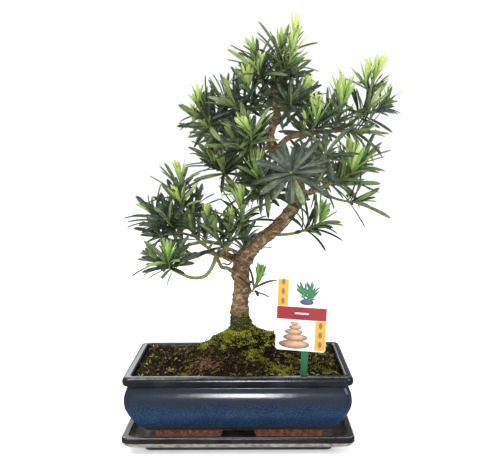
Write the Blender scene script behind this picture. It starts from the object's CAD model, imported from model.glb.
"""Looks of a buddhist pine bonsai in its glazed pot, built round the packed parts.

Lengths in this file are millimetres and become metres where a mesh is made. The origin is the
middle of the saucer's underside, +Z is up and the front faces -Y.
Each piece is a surface worked out as whole arrays: a function of two parameters on a grid, or a
profile carried along a path. Each operator makes one piece, or one group of like pieces.
"""
import math
import random

import bpy
import numpy as np
from mathutils import Matrix, Vector


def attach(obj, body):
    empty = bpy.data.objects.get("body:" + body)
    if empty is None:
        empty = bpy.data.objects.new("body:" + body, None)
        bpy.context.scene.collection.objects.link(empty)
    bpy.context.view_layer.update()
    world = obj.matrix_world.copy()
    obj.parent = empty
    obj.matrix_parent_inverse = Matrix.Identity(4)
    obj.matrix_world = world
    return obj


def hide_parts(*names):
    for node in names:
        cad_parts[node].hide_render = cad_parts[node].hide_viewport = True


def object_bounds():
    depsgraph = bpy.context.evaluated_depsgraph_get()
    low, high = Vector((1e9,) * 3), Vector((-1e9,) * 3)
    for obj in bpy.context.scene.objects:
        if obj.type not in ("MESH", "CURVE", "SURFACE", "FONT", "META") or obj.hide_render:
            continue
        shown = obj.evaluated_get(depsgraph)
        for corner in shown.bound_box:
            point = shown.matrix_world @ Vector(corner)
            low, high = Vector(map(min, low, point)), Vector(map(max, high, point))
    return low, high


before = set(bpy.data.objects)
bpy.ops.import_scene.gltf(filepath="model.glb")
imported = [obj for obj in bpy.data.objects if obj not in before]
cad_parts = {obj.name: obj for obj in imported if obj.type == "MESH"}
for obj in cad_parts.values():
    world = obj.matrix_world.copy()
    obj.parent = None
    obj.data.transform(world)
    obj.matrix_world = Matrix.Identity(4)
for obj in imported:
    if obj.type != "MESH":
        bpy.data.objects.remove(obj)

CAD_BOX = [list(corner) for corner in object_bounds()]

bl_info = {
    "name": "Buddhist Pine Bonsai",
    "version": (1, 0, 0),
    "blender": (4, 5, 0),
    "location": "View3D > Sidebar > Bonsai",
    "description": "Builds a podocarpus bonsai with its pot, saucer, soil, moss and plant label",
    "category": "Add Mesh",
}

MM = 0.001
GOLDEN_TURN = math.radians(137.5)


def from_picker(red, green, blue):
    """The linear colour of the 0 to 255 values that a colour picker shows."""
    shares = [value / 255.0 for value in (red, green, blue)]
    return tuple(value / 12.92 if value <= 0.04045 else ((value + 0.055) / 1.055) ** 2.4 for value in shares)


# Helpers for arrays

def s_curve(value, low, high):
    """0 below low and 1 above high, with an S-shaped rise 3t^2 - 2t^3 between them."""
    share = np.clip((value - low) / (high - low), 0.0, 1.0)
    return share * share * (3.0 - 2.0 * share)


def unit(vectors):
    return vectors / np.maximum(np.linalg.norm(vectors, axis=-1, keepdims=True), 1e-9)


def full_turn(count):
    """Even turns round a circle, in radians."""
    return np.linspace(0.0, 2.0 * math.pi, count, endpoint=False)


def points_at(x, y, z=0.0):
    """Points with the coordinates x, y and z, spread to one shape."""
    return np.stack(np.broadcast_arrays(x, y, z), axis=-1)


def distances_along(line):
    """The distance from a line's start to each of its points."""
    return np.concatenate([[0.0], np.cumsum(np.linalg.norm(np.diff(line, axis=0), axis=1))])


def between(at, marks, rows):
    """Rows of numbers, interpolated at places between the marks where they are known."""
    return np.stack([np.interp(at, marks, column) for column in rows.T], axis=-1)


def directions_round(side, top, turns):
    """Directions side cos u + top sin u: for each row of side and top, one for each turn u."""
    return side[:, None] * np.cos(turns)[:, None] + top[:, None] * np.sin(turns)[:, None]


def lattice_noise(points, size, seed=0):
    """Smooth noise from -1 to 1: a scrambled number at each corner of a lattice, blended by S-curves."""
    scaled = np.asarray(points, float) / size
    cell = np.floor(scaled).astype(np.int64)
    share = scaled - cell
    share = share * share * (3.0 - 2.0 * share)
    total = np.zeros(scaled.shape[:-1])
    for corner in range(8):
        offset = np.array([corner & 1, corner >> 1 & 1, corner >> 2 & 1])
        at = cell + offset
        key = at[..., 0] * 73856093 ^ at[..., 1] * 19349663 ^ at[..., 2] * 83492791 ^ (seed + 17) * 2654435
        key = (key ^ key >> 13) * 1274126177 & 0xFFFFFFFF
        key = (key ^ key >> 16) * 2246822519 & 0xFFFFFFFF
        weight = np.prod(np.where(offset == 1, share, 1.0 - share), axis=-1)
        total += weight * ((key >> 8) / 8388608.0 - 1.0)
    return total


def layered_noise(points, size, seed=0, layers=3):
    """Noise of a size, plus finer layers of half the size and half the height each."""
    return sum(lattice_noise(points, size / 2 ** k, seed + k) / 2 ** k for k in range(layers))


def grid_faces(rows, columns, around=False):
    """The four-sided faces of a grid of rows by columns, joined round where it is a ring."""
    column = np.arange(columns if around else columns - 1)
    row = np.arange(rows - 1)[:, None] * columns
    here, beside = row + column, row + (column + 1) % columns
    return np.stack([here, beside, beside + columns, here + columns], axis=-1).reshape(-1, 4)


def ring_cap(start, count, turned=False):
    """One flat face over a ring of points."""
    ring = np.arange(start, start + count)
    return (ring[::-1] if turned else ring).reshape(1, -1)


def turned_over(faces):
    return faces[:, ::-1]


def repeated(faces, count, points):
    """The faces of one small shape, repeated for `count` shapes of as many points each."""
    return (faces[None] + points * np.arange(count)[:, None, None]).reshape(-1, faces.shape[1])


# Helpers for meshes

class Build:
    """Gathers the arrays of one piece: points in millimetres, faces, and values held at each point."""

    def __init__(self):
        self.points, self.faces, self.kinds, self.values = [], [], [], {}
        self.count = 0

    def add(self, points, *faces, kind=0, **values):
        """Adds points of any grid shape, the faces over them, and values of one number or colour a point."""
        flat = np.asarray(points, float).reshape(-1, 3)
        for group in faces:
            self.faces.append(np.asarray(group) + self.count)
            self.kinds.append(np.full(len(group), kind))
        for name, value in values.items():
            array = np.atleast_1d(np.asarray(value, float))
            wide = array.shape[-1] == 4 and array.ndim > 1
            array = array.reshape(-1, 4) if wide else np.broadcast_to(array.reshape(-1), (len(flat),))
            self.values.setdefault(name, []).append((self.count, array))
        self.points.append(flat)
        self.count += len(flat)

    def add_tube(self, points, **values):
        """Adds rows of rings as a closed tube: the wall, and a flat face over each end."""
        rows, columns = points.shape[:2]
        self.add(points, grid_faces(rows, columns, around=True), ring_cap(0, columns, turned=True),
                 ring_cap((rows - 1) * columns, columns), **values)

    def finish(self, name, materials, sharp=None, flat=False):
        """The object, at the origin, with its values as attributes. Edges sharper than `sharp` show."""
        mesh = bpy.data.meshes.new(name)
        points = np.concatenate(self.points) * MM
        mesh.vertices.add(len(points))
        mesh.vertices.foreach_set("co", points.astype(np.float32).ravel())
        sizes = np.concatenate([np.full(len(group), group.shape[1]) for group in self.faces])
        corners = np.concatenate([group.ravel() for group in self.faces])
        mesh.loops.add(len(corners))
        mesh.loops.foreach_set("vertex_index", corners.astype(np.int32))
        mesh.polygons.add(len(sizes))
        mesh.polygons.foreach_set("loop_start", (np.cumsum(sizes) - sizes).astype(np.int32))
        mesh.polygons.foreach_set("material_index", np.concatenate(self.kinds).astype(np.int32))
        mesh.update(calc_edges=True)
        mesh.validate()
        for label, parts in self.values.items():
            wide = parts[0][1].ndim == 2
            whole = np.zeros((len(points), 4) if wide else len(points), np.float32)
            for start, array in parts:
                whole[start:start + len(array)] = array
            layer = mesh.attributes.new(label, "FLOAT_COLOR" if wide else "FLOAT", "POINT")
            layer.data.foreach_set("color" if wide else "value", whole.ravel())
        for material in materials:
            mesh.materials.append(material)
        if flat:
            mesh.shade_flat()
        else:
            mesh.shade_smooth()
            if sharp:
                mesh.set_sharp_from_angle(angle=math.radians(sharp))
        piece = bpy.data.objects.new(name, mesh)
        bpy.context.scene.collection.objects.link(piece)
        return piece


def settle(piece, slot, *nodes):
    """Fixes a piece to the object, names its material slot, and names the nodes that it stands for."""
    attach(piece, "root")
    if nodes:
        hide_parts(*nodes)


# Helpers for materials

class Nodes:
    """Short words for the nodes of one tree, which is a material's, a group's or the world's."""

    def __init__(self, tree, material=None):
        self.tree, self.material = tree, material

    def add(self, kind, **settings):
        node = self.tree.nodes.new("ShaderNode" + kind)
        for name, value in settings.items():
            setattr(node, name, value)
        return node

    def put(self, socket, value):
        """Links a socket to an output, or sets its plain value."""
        if isinstance(value, bpy.types.NodeSocket):
            self.tree.links.new(value, socket)
        elif socket.type == "RGBA" and len(value) == 3:
            socket.default_value = (*value, 1.0)
        else:
            socket.default_value = value

    def fill(self, node, **values):
        """Links or sets a node's sockets by their names."""
        for name, value in values.items():
            self.put(node.inputs[name.replace("_", " ").title().replace("Ior", "IOR")], value)
        return node

    def dress(self, **values):
        """Links or sets the material's shader, and gives the material back."""
        self.fill(self.tree.nodes["Principled BSDF"], **values)
        return self.material

    def maths(self, operation, *values, clamp=False):
        node = self.add("Math", operation=operation, use_clamp=clamp)
        for socket, value in zip(node.inputs, values):
            self.put(socket, value)
        return node.outputs[0]

    def times(self, first, second):
        return self.maths("MULTIPLY", first, second)

    def plus(self, first, second, clamp=False):
        return self.maths("ADD", first, second, clamp=clamp)

    def less(self, first, second, clamp=False):
        return self.maths("SUBTRACT", first, second, clamp=clamp)

    def times_plus(self, first, second, third, clamp=False):
        """first x second + third"""
        return self.maths("MULTIPLY_ADD", first, second, third, clamp=clamp)

    def mix(self, share, first, second):
        node = self.add("Mix", data_type="RGBA")
        for number, value in ((0, share), (6, first), (7, second)):
            self.put(node.inputs[number], value)
        return node.outputs[2]

    def step(self, value, low, high, bottom=0.0, top=1.0):
        """An S-shaped rise from bottom to top as the value goes from low to high."""
        node = self.add("MapRange", interpolation_type="SMOOTHSTEP")
        for socket, number in zip(node.inputs, (value, low, high, bottom, top)):
            self.put(socket, number)
        return node.outputs[0]

    def object_place(self, scale=(1.0, 1.0, 1.0)):
        """Object coordinates in millimetres, stretched by a scale."""
        mapping = self.add("Mapping")
        self.tree.links.new(self.add("TexCoord").outputs["Object"], mapping.inputs["Vector"])
        mapping.inputs["Scale"].default_value = [1000.0 * value for value in scale]
        return mapping.outputs[0]

    def height(self):
        """The height above the saucer's underside, in millimetres."""
        split = self.add("SeparateXYZ")
        self.put(split.inputs[0], self.object_place())
        return split.outputs[2]

    def noise(self, place, size, detail=2.0, roughness=0.5):
        node = self.fill(self.add("TexNoise"), vector=place, scale=1.0 / size, detail=detail,
                         roughness=roughness)
        return node.outputs["Fac"]

    def divided(self, vector, size):
        node = self.add("VectorMath", operation="DIVIDE")
        self.put(node.inputs[0], vector)
        self.put(node.inputs[1], size)
        return node.outputs[0]

    def parts(self, colour):
        """The three numbers of a colour."""
        split = self.add("SeparateColor")
        self.put(split.inputs[0], colour)
        return split.outputs[:3]

    def cells(self, place, size):
        """The distance of a Voronoi pattern, and three random numbers for each of its cells."""
        node = self.fill(self.add("TexVoronoi"), vector=place, scale=1.0 / size)
        return node.outputs["Distance"], self.parts(node.outputs["Color"])

    def value(self, name):
        """A number that the piece holds at each point."""
        return self.add("Attribute", attribute_name=name).outputs["Fac"]

    def values(self, name):
        """The four numbers that the piece holds at each point as a colour."""
        source = self.add("Attribute", attribute_name=name)
        return (*self.parts(source.outputs["Color"]), source.outputs["Alpha"])

    def bump(self, height, depth):
        """A normal from a height of 0 to 1 that stands for a depth in millimetres."""
        return self.fill(self.add("Bump"), height=height, distance=depth * MM).outputs[0]

    def group(self, name, **values):
        """Places a shared node group with its own values. Its first use makes it."""
        tree = bpy.data.node_groups.get(name) or GROUPS[name]()
        return self.fill(self.add("Group", node_tree=tree), **values)

    def speckle(self, place, size, share, radius):
        return self.group("Speckle", vector=place, size=size, share=share, radius=radius).outputs[0]

    def mottle(self, place, size, contrast):
        return self.group("Mottle", vector=place, size=size, contrast=contrast).outputs[0]

    def wear(self, place, amount):
        """Where the glaze is thin along the piece's own edges."""
        return self.group("Edge Wear", vector=place, edge=self.value("edge"), amount=amount).outputs[0]


def new_material(name):
    """A new material with only its shader: its nodes, and its Object coordinates in millimetres."""
    material = bpy.data.materials.new(name)
    material.use_nodes = True
    nodes = Nodes(material.node_tree, material)
    return nodes, nodes.object_place()


def new_group(name, outputs, **inputs):
    """An empty node group: (nodes, its inputs' sockets, its outputs' sockets). A vector has no default."""
    tree = bpy.data.node_groups.new(name, "ShaderNodeTree")
    for label, default in inputs.items():
        kind = "NodeSocketVector" if default is None else "NodeSocketFloat"
        socket = tree.interface.new_socket(label, in_out="INPUT", socket_type=kind)
        if default is not None:
            socket.default_value = default
    for label in outputs:
        tree.interface.new_socket(label, in_out="OUTPUT", socket_type="NodeSocketFloat")
    given, out = tree.nodes.new("NodeGroupInput"), tree.nodes.new("NodeGroupOutput")
    return Nodes(tree), given.outputs, out.inputs


# Shared node groups

def speckle_group():
    """Round specks in a share of a pattern's cells, each of its own radius."""
    nodes, given, out = new_group("Speckle", ["Mask"], Vector=None, Size=1.0, Share=0.3, Radius=0.3)
    distance, chance = nodes.cells(nodes.divided(given["Vector"], given["Size"]), 1.0)
    chosen = nodes.maths("LESS_THAN", chance[0], given["Share"])
    reach = nodes.times(given["Radius"], nodes.plus(chance[1], 0.4))
    near = nodes.less(1.0, nodes.maths("DIVIDE", distance, reach), clamp=True)
    nodes.put(out["Mask"], nodes.times(chosen, nodes.step(near, 0.0, 0.35)))
    return nodes.tree


def mottle_group():
    """Clouds from 0 to 1 of a size, sharper where the contrast is higher."""
    nodes, given, out = new_group("Mottle", ["Mask"], Vector=None, Size=10.0, Contrast=1.0)
    cloud = nodes.noise(nodes.divided(given["Vector"], given["Size"]), 1.0, detail=4.0, roughness=0.58)
    swing = nodes.times(nodes.less(cloud, 0.5), given["Contrast"])
    nodes.put(out["Mask"], nodes.plus(swing, 0.5, clamp=True))
    return nodes.tree


def edge_wear_group():
    """A broken line of wear where a piece's edge value is high."""
    nodes, given, out = new_group("Edge Wear", ["Mask"], Vector=None, Edge=0.0, Amount=0.6)
    broken = nodes.noise(given["Vector"], 3.5, detail=5.0, roughness=0.7)
    level = nodes.plus(given["Edge"], nodes.less(broken, 0.5))
    nodes.put(out["Mask"], nodes.times(nodes.step(level, 0.62, 0.95), given["Amount"]))
    return nodes.tree


def leaf_ribs_group():
    """A rib along the middle that fades towards the tip, and a height with fine veins beside it."""
    nodes, given, out = new_group("Leaf Ribs", ["Rib", "Height"], Along=0.5, Across=0.0)
    rib = nodes.step(nodes.maths("ABSOLUTE", given["Across"]), 0.22, 0.05)
    fade = nodes.step(given["Along"], 0.98, 0.80)
    nodes.put(out["Rib"], nodes.times(rib, fade))
    veins = nodes.maths("SINE", nodes.times(given["Across"], 34.0))
    nodes.put(out["Height"], nodes.times_plus(veins, 0.06, nodes.times(rib, -0.8)))
    return nodes.tree


GROUPS = {"Speckle": speckle_group, "Mottle": mottle_group, "Edge Wear": edge_wear_group,
          "Leaf Ribs": leaf_ribs_group}


# Materials

# Heights between which one finish goes over into the next
RIM_GLAZE = (73.4, 75.6)
CLAY_LINE = (23.6, 22.6)
CLAY_DRIPS = (15.5, 18.0)
SANDY_LINE = (15.4, 14.4)
PLINTH_LINE = (4.4, 3.0)
TRAY_SAND = (20.6, 19.0)
TRUNK_MOSS = (96.0, 112.0)


def glaze_material(settings):
    """Speckled blue glaze on the bowl, slate glaze on the rim, and bare clay on the foot."""
    nodes, place = new_material("Pot Glaze")
    height = nodes.height()
    ragged = nodes.times(nodes.less(nodes.noise(place, 6.0, 4.0), 0.5), 5.0)
    level = nodes.plus(height, ragged)
    rim = nodes.step(level, *RIM_GLAZE)
    below = nodes.step(nodes.times_plus(ragged, -0.6, level), *CLAY_LINE)
    bare = nodes.times(below, nodes.step(nodes.value("inside"), 0.6, 0.4))
    mottle = nodes.mottle(place, 26.0, 2.2)
    grain = nodes.mottle(place, 1.3, 3.4)
    pale = nodes.speckle(place, 0.9, 0.30, 0.50)
    dark = nodes.speckle(place, 1.9, 0.30, 0.46)
    blue = nodes.mix(mottle, settings.glaze, settings.glaze_light)
    deep = nodes.times_plus(nodes.step(level, 42.0, 56.0), 0.22, nodes.times(grain, 0.72))
    blue = nodes.mix(deep, blue, settings.glaze_dark)
    blue = nodes.mix(nodes.times(pale, 0.55 * settings.speckle), blue, settings.glaze_speck)
    clouded = nodes.times_plus(mottle, 16.0, level)
    shoulder = nodes.times(nodes.step(clouded, 54.0, 76.0), 0.85)
    blue = nodes.mix(shoulder, blue, settings.glaze_shoulder)
    slate = nodes.mix(mottle, settings.rim, settings.rim_dark)
    slate = nodes.mix(nodes.times(dark, 0.75), slate, settings.rim_dark)
    slate = nodes.mix(nodes.wear(place, 0.85), slate, settings.rim_worn)
    colour = nodes.mix(rim, blue, slate)
    clay = nodes.mix(nodes.mottle(place, 5.0, 2.4), settings.clay, settings.clay_dark)
    drips = nodes.speckle(nodes.object_place((1.0, 1.0, 0.3)), 2.3, 0.5, 0.5)
    clay = nodes.mix(nodes.times(drips, nodes.step(height, *CLAY_DRIPS)), clay, (0.74, 0.71, 0.69))
    colour = nodes.mix(bare, colour, clay)
    gloss = nodes.times_plus(grain, 0.06, nodes.times_plus(rim, 0.04, 0.10))
    rough = nodes.times_plus(bare, 0.55, gloss, clamp=True)
    ripple = nodes.times_plus(grain, 0.14, nodes.noise(place, 9.0, 2.0))
    normal = nodes.bump(nodes.times_plus(pale, -0.1, ripple), 0.05)
    return nodes.dress(base_color=colour, roughness=rough, normal=normal,
                       metallic=nodes.times(nodes.less(rim, bare, clamp=True), 0.30))


def saucer_material(settings):
    """Brown-grey glaze with a metallic look, worn pale along its edges, thin and sandy under the lip."""
    nodes, place = new_material("Saucer Glaze")
    height = nodes.height()
    mottle = nodes.mottle(place, 22.0, 2.2)
    specks = nodes.speckle(place, 1.7, 0.30, 0.45)
    colour = nodes.mix(mottle, settings.glaze, settings.glaze_dark)
    colour = nodes.mix(nodes.times(specks, 0.6), colour, settings.glaze_dark)
    colour = nodes.mix(nodes.wear(place, 0.9), colour, settings.worn)
    under = nodes.times(nodes.step(height, *SANDY_LINE), nodes.value("outside"))
    sandy = nodes.mix(nodes.mottle(place, 7.0, 2.4), settings.sand, settings.sand_dark)
    colour = nodes.mix(nodes.times(under, 0.85), colour, sandy)
    within = nodes.less(0.9, nodes.times(nodes.value("outside"), 0.9))
    colour = nodes.mix(nodes.times(within, nodes.step(height, *TRAY_SAND)), colour, sandy)
    plinth = nodes.times(nodes.step(height, *PLINTH_LINE), nodes.value("outside"))
    colour = nodes.mix(nodes.times(plinth, 0.85), colour, settings.glaze_dark)
    rough = nodes.times_plus(under, 0.30, nodes.times_plus(mottle, 0.10, 0.12))
    rough = nodes.times_plus(within, 0.22, rough)
    ripple = nodes.times_plus(specks, -0.4, nodes.noise(place, 7.0, 3.0))
    return nodes.dress(base_color=colour, roughness=rough, normal=nodes.bump(ripple, 0.12),
                       metallic=nodes.times_plus(under, -0.28, 0.30))


def plastic_material(name, colour, roughness, shade=0.72):
    """Moulded plastic with a faint grain and slight change of gloss."""
    nodes, place = new_material(name)
    grain = nodes.noise(place, 0.5, 2.0)
    cloud = nodes.mottle(place, 9.0, 1.6)
    darker = tuple(shade * value for value in colour)
    return nodes.dress(base_color=nodes.mix(cloud, colour, darker),
                       roughness=nodes.times_plus(cloud, 0.16, roughness), normal=nodes.bump(grain, 0.03))


def soil_material(settings):
    """Dark moist crumb: near black in the pits, brown on the grains, with pale mineral specks."""
    nodes, place = new_material("Soil")
    clods = nodes.mottle(place, 13.0, 2.6)
    grain = nodes.mottle(place, 1.5, 3.2)
    distance, chance = nodes.cells(place, 1.5)
    colour = nodes.mix(clods, settings.soil_dark, settings.soil)
    colour = nodes.mix(nodes.step(chance[0], 0.66, 1.0, 0.0, 0.7), colour, settings.soil_light)
    pits = nodes.times(nodes.step(nodes.value("relief"), -0.1, -0.9), 0.8)
    colour = nodes.mix(pits, colour, (0.004, 0.003, 0.002))
    specks = nodes.speckle(place, 2.4, 0.07, 0.30)
    colour = nodes.mix(specks, colour, settings.grit)
    height = nodes.times_plus(distance, -1.2, grain)
    return nodes.dress(base_color=colour, roughness=nodes.times_plus(grain, -0.25, 0.98),
                       normal=nodes.bump(height, 0.7), specular_ior_level=0.08)


def scatter_material(name, first, second, roughness=0.8, depth=0.2, size=0.9, sheen=0.5):
    """One finish for scattered bits: each bit's own tone lies between two colours."""
    nodes, place = new_material(name)
    grain = nodes.mottle(place, size, 2.4)
    tone = nodes.times_plus(grain, 0.4, nodes.times(nodes.value("tone"), 0.8), clamp=True)
    return nodes.dress(base_color=nodes.mix(tone, first, second),
                       roughness=nodes.times_plus(grain, -0.2, roughness), normal=nodes.bump(grain, depth),
                       specular_ior_level=sheen)


def moss_material(settings):
    """Yellow-green tips over dark brown-green bases, with patches that differ in tone."""
    nodes, place = new_material("Moss")
    patch = nodes.mottle(place, 14.0, 2.8)
    fine = nodes.mottle(place, 1.3, 3.0)
    near_trunk = nodes.step(nodes.height(), *TRUNK_MOSS, 0.0, 0.9)
    patch = nodes.maths("MAXIMUM", nodes.times(patch, 0.65), near_trunk)
    tips = nodes.mix(patch, settings.moss, settings.moss_light)
    tone = nodes.value("tone")
    tips = nodes.mix(nodes.step(tone, 0.50, 0.10), tips, settings.moss_deep)
    tips = nodes.mix(nodes.step(tone, 0.84, 0.96), tips, settings.moss_dry)
    depth = nodes.times_plus(fine, 0.35, nodes.value("rise"), clamp=True)
    colour = nodes.mix(nodes.step(depth, 0.32, 0.80), settings.moss_dark, tips)
    return nodes.dress(base_color=colour, roughness=nodes.times_plus(fine, -0.2, 0.95),
                       normal=nodes.bump(fine, 0.5), specular_ior_level=0.06)


def bark_material(settings):
    """Brown bark with pale flakes, reddish patches, dark pits, and green young wood at the far ends."""
    nodes, place = new_material("Bark")
    rings = nodes.object_place((1.0, 1.0, 1.5))
    patch = nodes.mottle(place, 15.0, 3.4)
    wrinkle = nodes.mottle(rings, 6.5, 3.4)
    fine = nodes.mottle(rings, 1.3, 3.0)
    relief, young, foot = nodes.value("relief"), nodes.value("young"), nodes.value("foot")
    colour = nodes.mix(patch, settings.bark, settings.bark_red)
    flakes = nodes.times(nodes.step(wrinkle, 0.46, 0.86), 0.80)
    colour = nodes.mix(flakes, colour, settings.bark_pale)
    colour = nodes.mix(nodes.times(nodes.step(fine, 0.56, 0.30), 0.55), colour, settings.bark_dark)
    pits = nodes.times(nodes.step(relief, -0.02, -0.62), 0.90)
    colour = nodes.mix(pits, colour, settings.bark_dark)
    green = nodes.mix(nodes.times(fine, 0.7), settings.twig, settings.twig_brown)
    colour = nodes.mix(young, colour, green)
    mossy = nodes.step(nodes.plus(foot, nodes.times(nodes.less(wrinkle, 0.5), 0.7)), 0.35, 0.8)
    colour = nodes.mix(mossy, colour, nodes.mix(fine, settings.moss_film, settings.moss_film_dark))
    height = nodes.times_plus(fine, 0.35, wrinkle)
    return nodes.dress(base_color=colour, roughness=nodes.times_plus(young, -0.30, 0.88),
                       normal=nodes.bump(height, 0.9))


def twig_material(settings):
    """Green stems, browner at their woody end."""
    nodes, place = new_material("Green Stem")
    fine = nodes.mottle(place, 1.6, 2.6)
    colour = nodes.mix(nodes.value("tone"), settings.twig_brown, settings.twig)
    colour = nodes.mix(nodes.times(fine, 0.45), colour, settings.twig_light)
    return nodes.dress(base_color=colour, roughness=nodes.times_plus(fine, 0.2, 0.45),
                       normal=nodes.bump(fine, 0.25))


def leaf_material(name, deep, fresh, below, rib_colour, roughness, paler=0.75, subsurface=0.0):
    """A leathery blade: its own tone between two greens, a paler rib and underside, and slight gloss."""
    nodes, place = new_material(name)
    along, across, under, tone = nodes.values("leaf")
    across = nodes.times_plus(across, 2.0, -1.0)
    ribs = nodes.group("Leaf Ribs", along=along, across=across)
    cloud = nodes.mottle(place, 5.0, 2.2)
    tint = nodes.times_plus(nodes.less(cloud, 0.5), 0.45, tone, clamp=True)
    colour = nodes.mix(tint, deep, fresh)
    colour = nodes.mix(nodes.times(ribs.outputs["Rib"], 0.55), colour, rib_colour)
    colour = nodes.mix(nodes.times(under, paler), colour, below)
    rough = nodes.times_plus(under, 0.15, nodes.times_plus(cloud, 0.12, roughness))
    return nodes.dress(base_color=colour, roughness=rough, normal=nodes.bump(ribs.outputs["Height"], 0.30),
                       subsurface_weight=subsurface, subsurface_scale=0.004,
                       subsurface_radius=(0.5, 1.0, 0.25))


# Pot and saucer

RIM_HALF = (126.0, 91.0)
RIM_CORNER = 8.0
POT_BOTTOM, POT_FLOOR, FOOT_BASE, GATE_TOP = 20.0, 26.5, 7.3, 19.4
FOOT_GATE, SIDE_GATE = (44.0, 34.0), (30.0, 22.0)
GATE_STOPS = ((22.0, 21.4, 17.6, 17.0, 10.0), (15.0, 14.4, 11.5, 11.0, 6.0))
DRAIN_X, DRAIN_RADIUS = 45.0, 6.0
SAUCER_HALF = (127.5, 92.5)
SAUCER_CORNER = 9.0
KEPT_PLACES = (24.0, 16.0)   # how far from the middle of a side its stations keep their place
STATION_END, SPREAD_END = 13.0, 11.0   # from a side's end to its last station, and to where the spread ends

# Each station: inset from the outline, height, how far its corner is rounded, and how worn it is
POT_PROFILE = (
    (43.0, 20.0, 0.5, 0), (42.0, 7.3, 0.8, 0), (33.0, 7.3, 0.8, 0), (31.5, 20.0, 1.0, 0),
    (24.0, 22.5, 3.5, 0), (14.0, 30.0, 6.0, 0), (6.0, 43.0, 6.0, 0), (2.0, 52.0, 4.0, 0), (1.0, 60.0, 4.0, 0),
    (2.2, 68.5, 3.0, 0), (5.0, 75.0, 0.6, 0), (4.4, 76.8, 1.0, 0), (1.4, 77.8, 1.2, 0.3),
    (0.0, 80.8, 2.6, 0.2), (0.0, 84.4, 2.6, 0.2), (2.2, 88.0, 1.8, 0.9), (8.0, 88.0, 0.6, 0.25),
    (9.5, 86.6, 0.6, 0.6), (11.5, 75.0, 3.0, 0), (9.0, 60.0, 4.0, 0), (13.5, 43.0, 5.0, 0),
    (21.0, 32.5, 4.0, 0), (31.0, 26.5, 2.0, 0),
)
SAUCER_PROFILE = (
    (24.5, 0.0, 0.3, 0), (23.5, 0.8, 0.3, 0), (23.5, 3.2, 0.3, 0), (21.0, 3.9, 0.6, 0), (3.2, 10.8, 0.7, 0.1),
    (0.0, 15.4, 0.5, 0.5), (0.0, 20.4, 0.5, 0.5), (1.0, 21.5, 0.5, 1.0), (6.6, 21.5, 0.5, 0.8),
    (8.0, 20.2, 0.5, 0.5), (9.5, 13.4, 1.5, 0), (18.5, 7.9, 1.5, 0), (22.0, 7.0, 1.0, 0),
)


def rounded_profile(stations, longest=2.5):
    """The profile with its corners rounded: a + 2t(b - a) + t^2(a - 2b + c) through each corner b.

    It gives rows of inset, height and wear, close enough together to carry a curved side.
    """
    knots = np.array([station[:2] for station in stations])
    wear = np.array([station[3] for station in stations], float)
    rows = [[*knots[0], wear[0]]]
    for number in range(1, len(knots) - 1):
        before, here, after = knots[number - 1:number + 2]
        back, ahead = before - here, after - here
        reach = min(stations[number][2], 0.48 * np.linalg.norm(back), 0.48 * np.linalg.norm(ahead))
        first = here + back / np.linalg.norm(back) * reach
        last = here + ahead / np.linalg.norm(ahead) * reach
        for t in np.linspace(0.0, 1.0, 5):
            point = first * (1 - t) ** 2 + here * 2 * t * (1 - t) + last * t * t
            rows.append([*point, wear[number] * (0.6 + 0.4 * math.sin(math.pi * t))])
    rows.append([*knots[-1], wear[-1]])
    rows = np.array(rows)
    marks = distances_along(rows[:, :2])
    extra = [np.linspace(a, b, int((b - a) / longest) + 1, endpoint=False)
             for a, b in zip(marks, marks[1:])] + [marks[-1:]]
    fine = np.unique(np.round(np.concatenate(extra), 4))
    return between(fine, marks, rows)


def outline_stations(half, corner_steps, stops):
    """Stations round a rounded rectangle: which corner (side), the way out, and the place along a side.

    A corner's stations have no place, and axis -1. `stops` are the places along a long and a short
    side, in millimetres from the middle, where a station has to stand.
    """
    corners = ((1, -1), (1, 1), (-1, 1), (-1, -1))
    rows = []
    for quarter, corner in enumerate(corners):
        turns = np.radians(90.0 * quarter - 90.0 + 90.0 * np.arange(corner_steps + 1) / corner_steps)
        rows += [(*corner, math.cos(turn), math.sin(turn), 0.0, -1) for turn in turns]
        along = 1 - quarter % 2
        reach = half[along] - STATION_END
        even = np.linspace(-reach, reach, 41 if along == 0 else 31)
        places = np.unique(np.concatenate([even, stops[along], [-stop for stop in stops[along]]]))
        if corners[(quarter + 1) % 4][along] < 0:
            places = places[::-1]
        rows += [(*rows[-1][:4], place, along) for place in places]
    side_x, side_y, out_x, out_y, places, axes = np.array(rows).T
    return np.stack([side_x, side_y], axis=-1), np.stack([out_x, out_y], axis=-1), places, axes


def walled_grid(half, corner, profile, stations):
    """The wall that carries a profile round the outline, in rows of points from its start to its end.

    A corner's point is side (half - inset - radius) + out radius. Near the middle of a side the
    stations keep their place, and from there on they spread evenly to the corner.
    """
    side, out, places, axes = stations
    inset, height = profile[:, 0][:, None, None], profile[:, 1]
    radius = np.maximum(corner - 0.15 * inset, 3.0)
    middle = np.array(half) - inset - radius
    flat = side * middle + out * radius
    for axis, kept in enumerate(KEPT_PLACES):
        held = np.minimum(np.abs(places), kept)
        spread = (np.abs(places) - held) / (half[axis] - SPREAD_END - kept) * (middle[..., axis] - kept)
        flat[..., axis] = np.where(axes == axis, np.sign(places) * (held + spread), flat[..., axis])
    return np.concatenate([flat, np.broadcast_to(height[:, None, None], (*flat.shape[:2], 1))], axis=-1)


def gate_height(across, gate, base, top):
    """How far the foot's underside is raised: 0 outside the gate, up its slanted sides, level above it."""
    wide, narrow = gate[0] / 2.0, gate[1] / 2.0
    return (top - base) * np.clip((wide - np.abs(across)) / (wide - narrow), 0.0, 1.0)


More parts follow.
